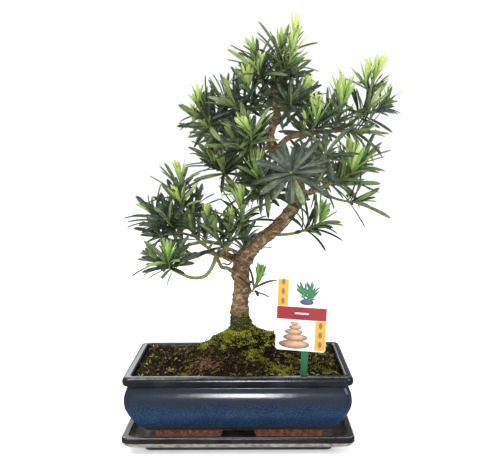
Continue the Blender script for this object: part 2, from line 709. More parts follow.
def make_pot(settings):
    """The bowl as one wall carried round the rim's outline; the foot's base is raised between its feet."""
    stations = outline_stations(RIM_HALF, settings.corner_steps, GATE_STOPS)
    out, axes = stations[1], stations[3]
    profile = rounded_profile(POT_PROFILE)
    points = walled_grid(RIM_HALF, RIM_CORNER, profile, stations)
    front = gate_height(points[..., 0], FOOT_GATE, FOOT_BASE, GATE_TOP) * (axes == 0)
    lift = np.maximum(front, gate_height(points[..., 1], SIDE_GATE, FOOT_BASE, GATE_TOP) * (axes == 1))
    share = np.clip((POT_BOTTOM - points[..., 2]) / (POT_BOTTOM - FOOT_BASE), 0.0, 1.0)
    points[..., 2] += lift * share
    points[..., :2] += 0.22 * out * layered_noise(points, 60.0, 3, 2)[..., None]
    past_top = np.arange(len(profile)) - np.argmax(profile[:, 1])
    inside = (past_top > 8) & (profile[:, 0] > 9.3)
    build = Build()
    build.add_tube(points, edge=np.repeat(profile[:, 2], len(axes)), inside=np.repeat(inside, len(axes)))
    pot = build.finish("glazed_pot", [glaze_material(settings)], sharp=38)
    drill_drains(pot)
    settle(pot, "pot_glaze", "pot")


def drill_drains(pot):
    """Cuts the two drain holes through the pot's floor."""
    turns = full_turn(32)
    levels = np.array([[POT_BOTTOM - 4.0], [POT_FLOOR + 4.0]])
    drill = Build()
    for x in (-DRAIN_X, DRAIN_X):
        drill.add_tube(points_at(x + DRAIN_RADIUS * np.cos(turns), DRAIN_RADIUS * np.sin(turns), levels))
    tool = drill.finish("drill", [])
    cut = pot.modifiers.new("Drain Holes", "BOOLEAN")
    cut.operation = "DIFFERENCE"
    cut.object = tool
    mesh = bpy.data.meshes.new_from_object(pot.evaluated_get(bpy.context.evaluated_depsgraph_get()))
    pot.modifiers.clear()
    pot.data = mesh
    bpy.data.objects.remove(tool)


def make_saucer(settings):
    """The tray as one wall carried round its outline, closed by its floor and its plinth's underside."""
    stations = outline_stations(SAUCER_HALF, settings.corner_steps, ((), ()))
    out = stations[1]
    profile = rounded_profile(SAUCER_PROFILE)
    points = walled_grid(SAUCER_HALF, SAUCER_CORNER, profile, stations)
    swell = layered_noise(points, 70.0, 9, 2)[..., None]
    points[..., :2] += 0.2 * out * swell * s_curve(points[..., 2:], 3.0, 8.0)
    outside = np.arange(len(profile)) < np.argmax(profile[:, 1])
    build = Build()
    build.add_tube(points, edge=np.repeat(profile[:, 2], len(out)), outside=np.repeat(outside, len(out)))
    settle(build.finish("glazed_saucer", [saucer_material(settings)], sharp=38), "saucer_glaze", "saucer")


# Soil and moss

SOIL_HALF = (115.4, 80.4)     # rim outline less the soil's inset
SOIL_CORNER = 6.4
SOIL_EDGE = 83.5
SOIL_DEPTHS = ((1.3, 75.0), (-1.2, 60.0), (3.3, 43.3), (10.9, 33.0), (21.2, 26.8))
TRUNK_X = 3.0
TRUNK_CLEAR = 11.0            # no tuft stands nearer to the trunk's middle
WALL_CLEAR = 2.5              # between the pot's wall and the nearest crumb
CUSHION_START, CUSHION_STEPS = 12.0, 200
CRUMB, GRIT, PEBBLE, ROOT, STRAW = range(5)
GRIT_COUNT, PEBBLE_COUNT, ROOT_COUNT, STRAW_COUNT = 170, 46, 90, 120
HEAPED_ROOTS = 60             # of the roots, those that lie together at the front left
CLIMBING_TUFTS, LONE_TUFTS = 480, 90


def from_trunk(x, y):
    """The distance and the direction of a place from the trunk's middle."""
    return np.hypot(x - TRUNK_X, y), np.arctan2(y, x - TRUNK_X)


def mound(x, y):
    """Height of the soil: level near the rim, heaped as a bell round the trunk and to its right, uneven."""
    heap = 38.0 * np.exp(-((from_trunk(x, y)[0] / 55.0) ** 2)) * (1.0 - (y / 86.0) ** 4)
    shelf = 7.0 * np.exp(-(((x - 50.0) / 27.0) ** 2) - (y / 34.0) ** 2)
    uneven = 0.9 * np.sin(x / 9.0 + 1.0) * np.sin(y / 8.0) + 0.7 * np.sin((x + y) / 5.5)
    return SOIL_EDGE + heap + shelf + uneven


def crumbs(x, y):
    """Relief of the crumb from -1 to 1: clods, and finer grains between them."""
    points = points_at(x, y)
    return 0.6 * layered_noise(points, 6.5, 21, 3) + 0.5 * lattice_noise(points, 2.1, 40)


def soil_height(x, y):
    """Height of the soil with its crumb, which dies out at the pot's wall."""
    inside = np.minimum(SOIL_HALF[0] - np.abs(x), SOIL_HALF[1] - np.abs(y))
    return mound(x, y) + 1.7 * crumbs(x, y) * s_curve(inside, 0.0, 3.0) - 0.5


def moss_edge(turn):
    """How far the moss reaches from the trunk in one direction."""
    return (36.0 + 10.0 * np.cos(turn) + 5.0 * np.sin(3.0 * turn + 0.6)
            + 3.0 * np.sin(5.0 * turn) + 2.0 * np.sin(9.0 * turn + 2.0))


def past_moss(x, y):
    """How far a place lies beyond the moss cushion's edge. It is negative on the cushion."""
    reach, turn = from_trunk(x, y)
    return reach - moss_edge(turn)


def make_soil(settings):
    """The root ball: a square grid drawn in at its corners, with the crumb's relief, over the pot's shape."""
    across, deep = np.meshgrid(np.linspace(-1.0, 1.0, 251), np.linspace(-1.0, 1.0, 177))
    x, y = SOIL_HALF[0] * across, SOIL_HALF[1] * deep
    past_x = np.maximum(np.abs(x) - (SOIL_HALF[0] - SOIL_CORNER), 0.0)
    past_y = np.maximum(np.abs(y) - (SOIL_HALF[1] - SOIL_CORNER), 0.0)
    shrink = np.maximum(past_x, past_y) / np.maximum(np.hypot(past_x, past_y), 1e-6)
    in_corner = (past_x > 0.0) & (past_y > 0.0)
    x = np.where(in_corner, np.sign(x) * (np.abs(x) - past_x * (1.0 - shrink)), x)
    y = np.where(in_corner, np.sign(y) * (np.abs(y) - past_y * (1.0 - shrink)), y)
    surface = points_at(x, y, soil_height(x, y))
    rows, columns = x.shape
    order = np.arange(rows * columns).reshape(rows, columns)
    edge = np.concatenate([order[0], order[1:, -1], order[-1, -2::-1], order[-2:0:-1, 0]])
    rim, count = surface.reshape(-1, 3)[edge], len(edge)
    rings = [rim * (1.0 - inset / SOIL_HALF[0], 1.0 - inset / SOIL_HALF[1], 0.0) + (0.0, 0.0, height)
             for inset, height in SOIL_DEPTHS]
    # The walls start from the surface's own edge points, so no seam is left open between them
    number = np.concatenate([edge, rows * columns + np.arange(len(rings) * count)])
    walls = number[turned_over(grid_faces(len(rings) + 1, count, around=True))]
    base = number[ring_cap(len(rings) * count, count, turned=True)]
    points = np.concatenate([surface.reshape(-1, 3), *rings])
    relief = np.concatenate([crumbs(x, y).ravel(), np.zeros(len(rings) * count)])
    build = Build()
    build.add(points, grid_faces(rows, columns), walls, base, relief=relief)
    settle(build.finish("soil_surface", [soil_material(settings)]), "soil", "soil")


def turned_frames(count, draw, flatness=0.0):
    """Random directions for `count` bits: an axis, and two directions square to it."""
    axis = draw.normal(size=(count, 3))
    axis[:, 2] *= 1.0 - flatness
    axis = unit(axis)
    side = unit(np.cross(axis, draw.normal(size=(count, 3))))
    return axis, side, np.cross(axis, side)


def pebble_shape():
    """A lumpy bit of 20 faces: the corners and triangles of an icosahedron."""
    golden = (1.0 + math.sqrt(5.0)) / 2.0
    corners = np.array([(0, a, b * golden) for a in (-1, 1) for b in (-1, 1)])
    corners = np.concatenate([corners, corners[:, (1, 2, 0)], corners[:, (2, 0, 1)]])
    near = np.linalg.norm(corners[:, None] - corners[None], axis=-1) < 2.1
    faces = [(i, j, k) for i in range(12) for j in range(i + 1, 12) for k in range(j + 1, 12)
             if near[i, j] and near[j, k] and near[i, k]]
    outward = [np.dot(np.cross(corners[j] - corners[i], corners[k] - corners[i]), corners[i]) > 0
               for i, j, k in faces]
    faces = [face if ok else face[::-1] for face, ok in zip(faces, outward)]
    return unit(corners), np.array(faces)


def scattered_bits(build, places, sizes, draw, kind, squat=0.0, lumpy=0.25):
    """A lumpy bit at each place, of its own size, proportions, turn and tone."""
    corners, faces = pebble_shape()
    count = len(places)
    axis, side, front = turned_frames(count, draw, squat)
    reach = sizes[:, None] * draw.uniform(0.65, 1.15, (count, 3)) * (1.0, 1.0, 1.0 - 0.5 * squat)
    frames = np.stack([axis, side, front], axis=1) * reach[:, :, None]
    bumps = corners * (1.0 + lumpy * draw.uniform(-1.0, 1.0, (count, 12, 1)))
    points = places[:, None, :] + bumps @ frames
    tone = np.repeat(draw.uniform(0.0, 1.0, count) ** 2, 12)
    build.add(points, repeated(faces, count, 12), kind=kind, tone=tone)


def random_places(count, draw):
    """Places on the soil, away from the pot's wall and off the moss cushion."""
    reach_x, reach_y = SOIL_HALF[0] - WALL_CLEAR, SOIL_HALF[1] - WALL_CLEAR
    x = draw.uniform(-reach_x, reach_x, 3 * count)
    y = draw.uniform(-reach_y, reach_y, 3 * count)
    free = past_moss(x, y) > -3.0
    x, y = x[free][:count], y[free][:count]
    return points_at(x, y, soil_height(x, y))


def thread(build, route, radius, kind, tone):
    """A thin root or straw: a square profile carried along a route, tapering at both ends."""
    ahead = unit(np.gradient(route, axis=0))
    side = unit(np.cross(ahead, (0.0, 0.0, 1.0)))
    share = np.linspace(0.05, 0.95, len(route))
    reach = radius * (0.35 + 0.65 * np.sin(math.pi * share) ** 0.5)
    ring = directions_round(side, np.cross(ahead, side), full_turn(4))
    build.add_tube(route[:, None] + ring * reach[:, None, None], kind=kind, tone=tone)


def lay_fibres(build, draw):
    """Root fibres that wind over the soil, a heap of them at the front left, and short bits of straw."""
    for number in range(ROOT_COUNT + STRAW_COUNT):
        is_root = number < ROOT_COUNT
        x, y, _ = random_places(1, draw)[0]
        if number < HEAPED_ROOTS:
            x, y = np.clip(draw.normal((-38.0, -50.0), (10.0, 9.0)), (-108.0, -75.0), (100.0, 75.0))
        turn = draw.uniform(0.0, 2.0 * math.pi)
        bend = draw.uniform(-0.16, 0.16) * (3.0 if is_root else 0.6)
        length = draw.uniform(6.0, 17.0) if is_root else draw.uniform(2.0, 7.0)
        steps = 9 if is_root else 4
        headings = turn + bend * np.arange(steps)
        route_x = np.clip(x + np.cumsum(np.cos(headings)) * length / steps, -112.0, 112.0)
        route_y = np.clip(y + np.cumsum(np.sin(headings)) * length / steps, -77.0, 77.0)
        arch = draw.uniform(0.2, 2.2) * np.sin(np.linspace(0.0, math.pi, steps))
        route = points_at(route_x, route_y, soil_height(route_x, route_y) + 0.7 + arch)
        radius = draw.uniform(0.22, 0.5) if is_root else draw.uniform(0.35, 0.8)
        thread(build, route, radius, ROOT if is_root else STRAW, draw.uniform(0.0, 1.0))


def make_litter(settings):
    """Crumbs, grit, pebbles, straw bits and root fibres that lie on the soil."""
    draw = np.random.default_rng(11)
    build = Build()
    places = random_places(settings.crumb_count, draw)
    sizes = draw.gamma(3.0, 0.33, len(places)) + 0.35
    scattered_bits(build, places + (0, 0, 0.2), sizes, draw, CRUMB)
    grit = random_places(GRIT_COUNT, draw)
    scattered_bits(build, grit + (0, 0, 0.5), draw.uniform(0.4, 0.9, len(grit)), draw, GRIT)
    stones = random_places(PEBBLE_COUNT, draw) + (0, 0, 0.8)
    scattered_bits(build, stones, draw.uniform(1.2, 2.6, len(stones)), draw, PEBBLE, squat=0.5, lumpy=0.1)
    lay_fibres(build, draw)
    materials = [
        scatter_material("Soil Crumbs", settings.soil_dark, settings.soil_light, 0.95, 0.4, 0.8, 0.08),
        scatter_material("Grit", (0.16, 0.14, 0.12), (0.55, 0.50, 0.44), 0.7, 0.1),
        scatter_material("Pebbles", (0.05, 0.028, 0.018), (0.19, 0.085, 0.05), 0.6, 0.1, 1.6),
        scatter_material("Root Fibres", settings.root, (0.33, 0.16, 0.09), 0.6, 0.1),
        scatter_material("Straw Bits", (0.17, 0.11, 0.06), (0.60, 0.50, 0.34), 0.6, 0.1),
    ]
    settle(build.finish("soil_crumbs_and_fibres", materials), "soil")


def moss_height(x, y):
    """The cushion's top: thickest half way out, in humps, thinning to nothing at its edge."""
    reach, turn = from_trunk(x, y)
    share = np.clip(reach / moss_edge(turn), 0.0, 1.0)
    body = 1.1 + 3.4 * (1.0 - share) ** 0.6 * np.minimum(1.0, 0.45 + share)
    humps = layered_noise(points_at(x, y), 9.0, 61, 2)
    return mound(x, y) + body * (1.0 + 0.40 * humps) - s_curve(share, 0.86, 1.0)


def tufts(build, hearts, sizes, count, spread, draw):
    """Brushes of `count` thin three-sided spikes round each heart, dark at their feet, each of one tone."""
    owner = np.repeat(np.arange(len(hearts)), count)
    total = len(owner)
    ahead = unit(draw.normal(0.0, spread, (total, 3)) + (0.0, 0.0, 1.0))
    size = sizes[owner]
    feet = hearts[owner] + draw.normal(0.0, 0.4, (total, 3)) * size[:, None] * (1.0, 1.0, 0.1)
    side = unit(np.cross(ahead, draw.normal(size=(total, 3))))
    ring = directions_round(side, np.cross(ahead, side), np.radians((90.0, 210.0, 330.0)))
    width = draw.uniform(0.22, 0.42, total) * np.clip(size / 3.0, 0.7, 1.6)
    tips = feet + ahead * (size * draw.uniform(0.6, 1.25, total))[:, None]
    points = np.concatenate([feet[:, None] + ring * width[:, None, None], tips[:, None]], axis=1)
    spike = np.array([(0, 1, 3), (1, 2, 3), (2, 0, 3), (2, 1, 0)])
    tone = np.clip(draw.uniform(0.0, 1.0, len(hearts))[owner] + draw.normal(0.0, 0.22, total), 0.0, 1.0)
    build.add(points, repeated(spike, total, 4), rise=np.tile([0.0, 0.0, 0.0, 1.0], total),
              tone=np.repeat(tone, 4))


def moss_cover(x, y):
    """How thickly moss grows: full on most of the cushion, thin to its right and front, then in patches."""
    thin = 0.09 * np.maximum(x - 4.0, 0.0) + 0.035 * np.maximum(-y - 20.0, 0.0)
    left = np.exp(-(((x + 30.0) / 18.0) ** 2) - ((y + 6.0) / 20.0) ** 2)
    front = np.exp(-(((x - 34.0) / 42.0) ** 2) - ((y + 48.0) / 24.0) ** 2)
    broken = layered_noise(points_at(x, y), 15.0, 91, 3)
    cushion = np.maximum(1.0 - thin, 0.08) + 0.4 * broken * (thin > 0.0)
    loose = 0.75 * left + 0.36 * front + 0.75 * broken - 0.16
    return np.clip(np.where(past_moss(x, y) < 1.0, cushion, loose), 0.0, 1.0)


def add_cushion(build):
    """A humped ring round the trunk's foot: rings of points over its top and back along its underside."""
    turns = full_turn(CUSHION_STEPS)
    reach = CUSHION_START + (moss_edge(turns) - CUSHION_START) * np.linspace(0.0, 1.0, 36)[:, None]
    x, y = TRUNK_X + reach * np.cos(turns), reach * np.sin(turns)
    ground = mound(x, y)
    top = np.maximum(moss_height(x, y) + 0.8 * lattice_noise(points_at(x, y), 1.9, 70), ground - 1.0)
    under = points_at(x, y, ground - 1.2)[[-1, 0]]
    rings = np.concatenate([points_at(x, y, top), under])
    rise = np.concatenate([0.16 * s_curve(top - ground, 0.5, 4.5), np.zeros(under.shape[:2])])
    wall = turned_over(grid_faces(len(rings) + 1, CUSHION_STEPS, around=True))
    build.add(rings, wall % rise.size, rise=rise, tone=0.3)


def add_tufts(build, settings, draw):
    """Tufts on the cushion, in patches on the soil, up the trunk's foot, and scattered over the rest."""
    wide = draw.uniform((-66.0, -78.0), (106.0, 50.0), (16000, 2))
    kept = draw.uniform(0.0, 1.0, len(wide)) < moss_cover(*wide.T)
    free = from_trunk(*wide.T)[0] > TRUNK_CLEAR
    x, y = wide[kept & free][:settings.tuft_count].T
    on_cushion = past_moss(x, y) < 0.0
    level = np.where(on_cushion, moss_height(x, y) - 0.7, soil_height(x, y) - 0.3)
    height = 0.5 + 0.5 * layered_noise(points_at(x, y), 7.0, 81, 2)
    sizes = settings.tuft_size / MM * (0.30 + 1.25 * height) * np.where(on_cushion, 1.0, 0.8)
    tufts(build, points_at(x, y, level), sizes, 15, 0.55, draw)
    turn = draw.uniform(0.0, 2.0 * math.pi, CLIMBING_TUFTS)
    share = draw.uniform(0.0, 1.0, CLIMBING_TUFTS) ** 1.2 * (0.8 + 0.2 * np.sin(2.0 * turn + 4.0))
    level = 112.0 + 32.0 * share
    reach = np.interp(level, (112.0, 122.0, 139.0, 150.0), (13.6, 12.2, 10.8, 10.0))
    bark = points_at(TRUNK_X + reach * np.cos(turn), reach * np.sin(turn), level)
    tufts(build, bark, draw.uniform(1.4, 3.4, CLIMBING_TUFTS), 14, 1.0, draw)
    lone = random_places(LONE_TUFTS, draw) - (0.0, 0.0, 0.3)
    tufts(build, lone, draw.uniform(2.6, 7.0, len(lone)), 12, 0.7, draw)


def make_moss(settings):
    """The moss: a cushion round the trunk's foot, and tufts of spikes on it and about it."""
    build = Build()
    add_cushion(build)
    add_tufts(build, settings, np.random.default_rng(23))
    settle(build.finish("moss_cushion", [moss_material(settings)]), "moss", "moss")


# Stems

OLD_LEAF = {"foot": 0.24, "widest": 0.60, "tip": 0.60}
BROAD_LEAF = {"foot": 0.18, "widest": 0.68, "tip": 0.60}
YOUNG_LEAF = {"foot": 0.30, "widest": 0.50, "tip": 0.95}
LEAF_SPREAD = (28.0, 70.0)
LEAF_PITCH = 2.7
FIRST_LEAF = 3.2          # from a stem's tip to its first leaf
LEAF_SAG = 0.06           # of a level leaf's length
LEAF_LIFT = 0.24          # how far the leaves lean up from their own direction
TIP_LEAVES = 5            # young ones at the tip of a stem that bears no pale growth
SHOOT_DIP = 0.16          # of a shoot's length, by which its middle hangs under the straight line
NEW_LEAF_RANGE = (26.0, 42.0)
NEW_LEAF_SHARE = 0.92     # of the growth's height
TALL_GROWTH = 36.0
SPIRE = {"height": 55.0, "leaf": 33.0}   # growth taller than this is a spire of short leaves
NEW_LEAVES = (12, 18)     # on low and on tall growth
GREENER = {"drooping_1": 0.6, "foot_sprig": 0.8, "low_right": 0.85, "inner_left": 0.3, "apex_left": 0.2,
           "lower_right": 0.35, "middle_front": 0.15}   # by how much the growth on these stems is less pale

TRUNK = (
    ((3, 0, 60), 13.5), ((3, 0, 95), 13.5), ((3, 0, 122), 12.4),
    ((2, 0, 139), 10.6), ((2, 0, 157), 9.3), ((4, 2, 175), 9.6), ((3, 3, 192), 9.0), ((5, 2, 205), 9.6),
    ((13, 0, 215), 8.9), ((23, -4, 225), 8.2), ((37, -8, 237), 7.7), ((51, -10, 250), 7.6),
    ((62, -10, 264), 7.6), ((69, -8, 276), 7.9), ((71, -4, 287), 7.1), ((64, 2, 300), 6.6),
    ((54, 8, 315), 6.1), ((45, 12, 330), 5.5), ((38, 14, 344), 5.0), ((38, 14, 352), 4.4),
    ((42, 12, 362), 4.2), ((46, 10, 374), 3.8), ((43, 8, 385), 3.4), ((41, 6, 394), 3.0),
)


def spaced(line, spacing):
    """The same line with even stations."""
    marks = distances_along(line)
    at = np.linspace(0.0, marks[-1], max(3, round(marks[-1] / spacing) + 1))
    return between(at, marks, line)


def smooth_line(points, spacing=1.5):
    """A Catmull-Rom curve: between points b and c it leaves along c - a and arrives along d - b."""
    knots = np.array(points, float)
    ends = np.concatenate([2.0 * knots[:1] - knots[1:2], knots, 2.0 * knots[-1:] - knots[-2:-1]])
    t = np.arange(16)[:, None] / 16.0
    fine = [0.5 * (2.0 * b + (c - a) * t + (2.0 * a - 5.0 * b + 4.0 * c - d) * t ** 2
                   + (3.0 * b - a - 3.0 * c + d) * t ** 3)
            for a, b, c, d in zip(ends, ends[1:], ends[2:], ends[3:])]
    return spaced(np.concatenate(fine + [knots[-1:]]), spacing)


def arc_line(start, tip):
    """A shoot's line (1-t)^2 start + 2t(1-t) bend + t^2 tip, whose bend hangs under the straight line."""
    tip = np.array(tip, float)
    bend = 0.5 * (start + tip) - (0.0, 0.0, SHOOT_DIP * np.linalg.norm(tip - start))
    t = np.linspace(0.0, 1.0, 24)[:, None]
    return spaced(start * (1.0 - t) ** 2 + bend * 2.0 * t * (1.0 - t) + tip * t ** 2, 1.5)


class Stem:
    """A stem's centre line and radii, its stretch of wood, and what its green stretch bears."""

    def __init__(self, name, line, radii, wood=0.0, leaves=0, leaf=OLD_LEAF, length=1.0,
                 spread=LEAF_SPREAD, zone=None, bud=None, pad=None):
        self.name, self.line, self.wood, self.leaves, self.leaf = name, line, wood, leaves, leaf
        self.length, self.spread, self.bud = length, spread, bud
        self.zone = zone if zone else LEAF_PITCH * leaves
        self.pad = pad if pad else name
        self.marks = distances_along(line)
        self.total = self.marks[-1]
        self.radii = np.interp(np.linspace(0.0, 1.0, len(line)), np.linspace(0.0, 1.0, len(radii)), radii)
        self.low = float(s_curve(line[-1][2], 330.0, 280.0))   # the low stems' leaves are fewer and broader

    def at(self, distance):
        """Places, directions and radii at distances along the centre line."""
        distance = np.clip(distance, 0.0, self.total)
        before = between(np.maximum(distance - 1.5, 0.0), self.marks, self.line)
        after = between(np.minimum(distance + 1.5, self.total), self.marks, self.line)
        place = between(distance, self.marks, self.line)
        return place, unit(after - before), np.interp(distance, self.marks, self.radii)


def lay_out_stems():
    """Every stem of the tree, by hand: boughs follow the points given, shoots run out and then turn up.

    A shoot starts at a share of its parent's length. The shoot bough_1 springs from the stem bough.
    """
    knots = np.array([point for point, _ in TRUNK], float)
    reach = distances_along(knots)
    radii = np.interp(np.linspace(0.0, reach[-1], 120), reach, [radius for _, radius in TRUNK])
    stems = {"trunk": Stem("trunk", smooth_line(knots, 1.2), radii)}

    def bough(name, route, radii, wood, **bears):
        stems[name] = Stem(name, smooth_line(route), radii, wood, **bears)

    def shoot(name, share, tip, leaves, parent=None, wood=0.0, radii=(1.6, 1.2), **bears):
        source = stems[parent or name[:-2]]
        start = source.at(source.total * share)[0]
        pad = None if wood else source.pad
        stems[name] = Stem(name, arc_line(start, tip), radii, wood, leaves, pad=pad, **bears)

    # Low left: a rough bough with a knot, a bare loop under it, and four green stems
    bough("left_bough", [(3, 0, 208), (-7, -4, 209), (-16, -8, 212), (-26, -12, 212)], (4.6, 3.6), 30.0)
    bough("loop_twig", [(3, 1, 186), (-7, -6, 193), (-12, -8, 196), (-19, -10, 198), (-24, -12, 208)],
          (2.6, 1.9), 60.0)
    bough("drooping", [(-24, -12, 212), (-31, -18, 197), (-37, -24, 190), (-44, -28, 188), (-54, -32, 189),
                       (-63, -34, 193), (-72, -36, 198), (-81, -36, 204), (-92, -36, 211)], (2.4, 1.5), 8.0,
          leaves=8, length=0.82, spread=(30.0, 84.0))
    shoot("drooping_1", 0.80, (-77, -48, 209), 5, bud=(-79, -50, 234))
    shoot("drooping_2", 0.72, (-82, -8, 206), 7)
    bough("left_tall", [(-24, -12, 212), (-37, -6, 215), (-48, 4, 211), (-57, 10, 211), (-64, 14, 217),
                        (-67, 14, 232), (-67, 10, 249), (-67, 6, 267), (-68, 4, 279), (-67, 2, 293)],
          (2.4, 1.4), 9.0, leaves=6, bud=(-69, 0, 323))
    shoot("left_tall_1", 0.52, (-101, 8, 259), 9)
    shoot("left_tall_2", 0.72, (-65, -14, 270), 5, bud=(-71, -16, 294))
    shoot("left_tall_3", 0.60, (-80, -22, 252), 8)
    shoot("left_tall_4", 0.66, (-50, 28, 266), 8)
    shoot("left_tall_5", 0.50, (-82, 42, 240), 8)
    shoot("left_tall_6", 0.46, (-96, -8, 240), 7, length=0.8)
    bough("left_front", [(-25, -12, 212), (-33, -17, 220), (-41, -17, 226), (-48, -14, 233), (-54, -12, 242)],
          (2.1, 1.3), 9.0, leaves=7)
    shoot("left_front_1", 0.42, (-34, -22, 250), 7)
    bough("inner_left", [(-25, -12, 212), (-14, -18, 221), (-7, -24, 229), (0, -28, 240), (4, -30, 252),
                         (5, -30, 264)], (2.2, 1.4), 9.0, leaves=8, bud=(2, -32, 297))
    shoot("inner_left_1", 0.36, (-8, -36, 244), 6)
    shoot("inner_left_2", 0.24, (-25, -30, 236), 7)
    shoot("fork", 0.385, (8, 8, 234), 7, parent="trunk", wood=18.0, radii=(2.4, 1.3))

    # Middle left
    bough("middle_left", [(70, -4, 284), (55, 14, 278), (38, 24, 278), (21, 30, 280), (8, 32, 284),
                          (-5, 32, 292), (-15, 28, 303), (-24, 24, 314), (-34, 20, 323)], (3.6, 1.5), 86.0,
          leaves=9)
    shoot("middle_left_1", 0.80, (-17, 6, 311), 6)
    shoot("middle_left_2", 0.84, (-28, 42, 333), 8)
    shoot("middle_left_3", 0.78, (-6, 34, 326), 8)
    shoot("middle_front", 0.30, (24, -24, 300), 7, parent="middle_left", wood=12.0, radii=(2.3, 1.4),
          bud=(18, -32, 335))
    shoot("middle_front_1", 0.62, (36, -34, 286), 8)
    shoot("middle_front_2", 0.50, (4, -4, 282), 8)
    shoot("middle_back", 0.34, (30, 58, 292), 9, parent="middle_left", wood=11.0, radii=(2.2, 1.3))

    # Upper left
    bough("upper_left", [(38, 14, 346), (28, 8, 349), (14, 2, 352), (1, 0, 358), (-13, -2, 366),
                         (-26, -4, 372), (-39, -8, 377)], (3.1, 1.4), 48.0, leaves=8, bud=(-47, -10, 402))
    shoot("upper_left_1", 0.70, (-14, 8, 394), 9)
    shoot("upper_left_2", 0.80, (-34, -30, 358), 9)
    shoot("upper_left_3", 0.72, (-28, 26, 350), 8)
    shoot("crown_left", 0.905, (14, -20, 398), 9, parent="trunk", wood=24.0, radii=(2.4, 1.4),
          bud=(10, -24, 436))
    shoot("crown_left_1", 0.62, (-4, -40, 380), 9)
    shoot("crown_front", 0.84, (0, -36, 338), 9, parent="trunk", wood=22.0, radii=(2.6, 1.4))
    shoot("crown_front_1", 0.62, (16, -52, 350), 8, bud=(3, -58, 372))
    shoot("crown_back", 0.36, (-6, 36, 352), 8, parent="upper_left", wood=10.0, radii=(2.0, 1.3))

    # Top
    bough("apex", [(41, 6, 390), (43, 4, 405), (50, 0, 417), (59, -4, 429)], (3.0, 1.5), 18.0,
          leaves=10, bud=(71, -4, 491))
    shoot("apex_1", 0.66, (50, 12, 444), 7)
    shoot("apex_2", 0.60, (57, 36, 416), 8)
    shoot("apex_left", 0.985, (23, 0, 438), 8, parent="trunk", wood=14.0, radii=(2.2, 1.3),
          bud=(12, 0, 464))
    shoot("apex_left_1", 0.52, (24, -28, 418), 8)
    shoot("apex_right", 0.955, (71, -10, 395), 9, parent="trunk", wood=13.0, radii=(2.2, 1.3),
          bud=(86, -10, 418))
    shoot("apex_right_1", 0.58, (60, -38, 384), 8, length=0.74)
    shoot("apex_right_2", 0.62, (76, 24, 378), 8)

    # Right
    bough("right_bough", [(45, 12, 332), (57, 6, 345), (69, 2, 349), (85, -2, 352), (100, -4, 353),
                          (120, -4, 354), (132, -6, 352), (144, -10, 350)], (3.6, 1.5), 86.0, leaves=9,
          spread=(34.0, 76.0))
    shoot("right_inner", 0.40, (89, -22, 362), 5, parent="right_bough", wood=9.0, radii=(2.0, 1.4),
          bud=(91, -24, 400))
    shoot("right_middle", 0.66, (118, -12, 374), 7, parent="right_bough", wood=8.0, radii=(2.0, 1.4),
          bud=(122, -14, 424))
    bough("far_right", [(112, -4, 354), (130, 4, 362), (143, 8, 374), (153, 10, 387), (157, 8, 398),
                        (157, 6, 408)], (2.4, 1.4), 14.0, leaves=4, length=0.7, bud=(165, 6, 444))
    shoot("far_right_1", 0.82, (147, -6, 404), 2, length=0.8, bud=(147, -8, 438))
    shoot("far_right_2", 0.52, (173, 14, 384), 7, length=0.62)
    shoot("far_right_3", 0.42, (150, -10, 378), 7)
    shoot("right_back", 0.44, (108, 42, 370), 9, parent="right_bough", wood=9.0, radii=(2.1, 1.3))
    shoot("right_back_1", 0.55, (80, 42, 350), 8)
    bough("lower_right", [(70, -4, 285), (81, -10, 283), (91, -14, 287), (101, -16, 292), (110, -18, 297),
                          (119, -18, 300), (128, -18, 305)], (3.4, 1.6), 33.0, leaves=9, bud=(137, -22, 347))
    shoot("lower_right_1", 0.74, (147, 6, 322), 9)
    shoot("lower_right_2", 0.70, (130, 8, 292), 7)
    shoot("drooping_right", 0.36, (138, -34, 274), 5, parent="lower_right", wood=9.0, radii=(1.9, 1.1),
          spread=(30.0, 60.0))
    shoot("low_right", 0.505, (90, -34, 249), 7, parent="trunk", wood=14.0, radii=(1.9, 1.3),
          bud=(106, -38, 276))
    shoot("foot_sprig", 0.262, (21, -17, 177), 3, parent="trunk", wood=14.0, radii=(1.5, 1.0),
          length=0.8, bud=(32, -19, 205))

    # Front: two rosettes that face the viewer
    bough("rosette", [(69, -6, 279), (67, -24, 286), (64, -44, 294), (61, -62, 302), (58, -80, 309)],
          (2.8, 1.6), 24.0, leaves=15, leaf=BROAD_LEAF, spread=(70.0, 94.0), zone=7.0)
    bough("second_rosette", [(84, -11, 285), (91, -22, 296), (96, -34, 312), (98, -48, 331)],
          (2.3, 1.4), 13.0, leaves=11, leaf=BROAD_LEAF, spread=(54.0, 92.0), zone=12.0)

    # Back
    bough("back_left", [(52, 9, 318), (44, 28, 322), (32, 50, 326), (17, 72, 334)],
          (3.0, 1.5), 26.0, leaves=10)
    shoot("back_left_1", 0.62, (-2, 60, 312), 9)
    bough("back_right", [(70, -2, 292), (76, 22, 296), (84, 48, 304), (92, 76, 315)],
          (3.0, 1.5), 26.0, leaves=10, bud=(94, 82, 346))
    shoot("back_right_1", 0.60, (114, 54, 298), 9)
    bough("back_top", [(46, 10, 372), (46, 24, 376), (47, 42, 380), (47, 58, 386)],
          (2.5, 1.4), 20.0, leaves=10, bud=(46, 64, 418))
    return stems


# Wood

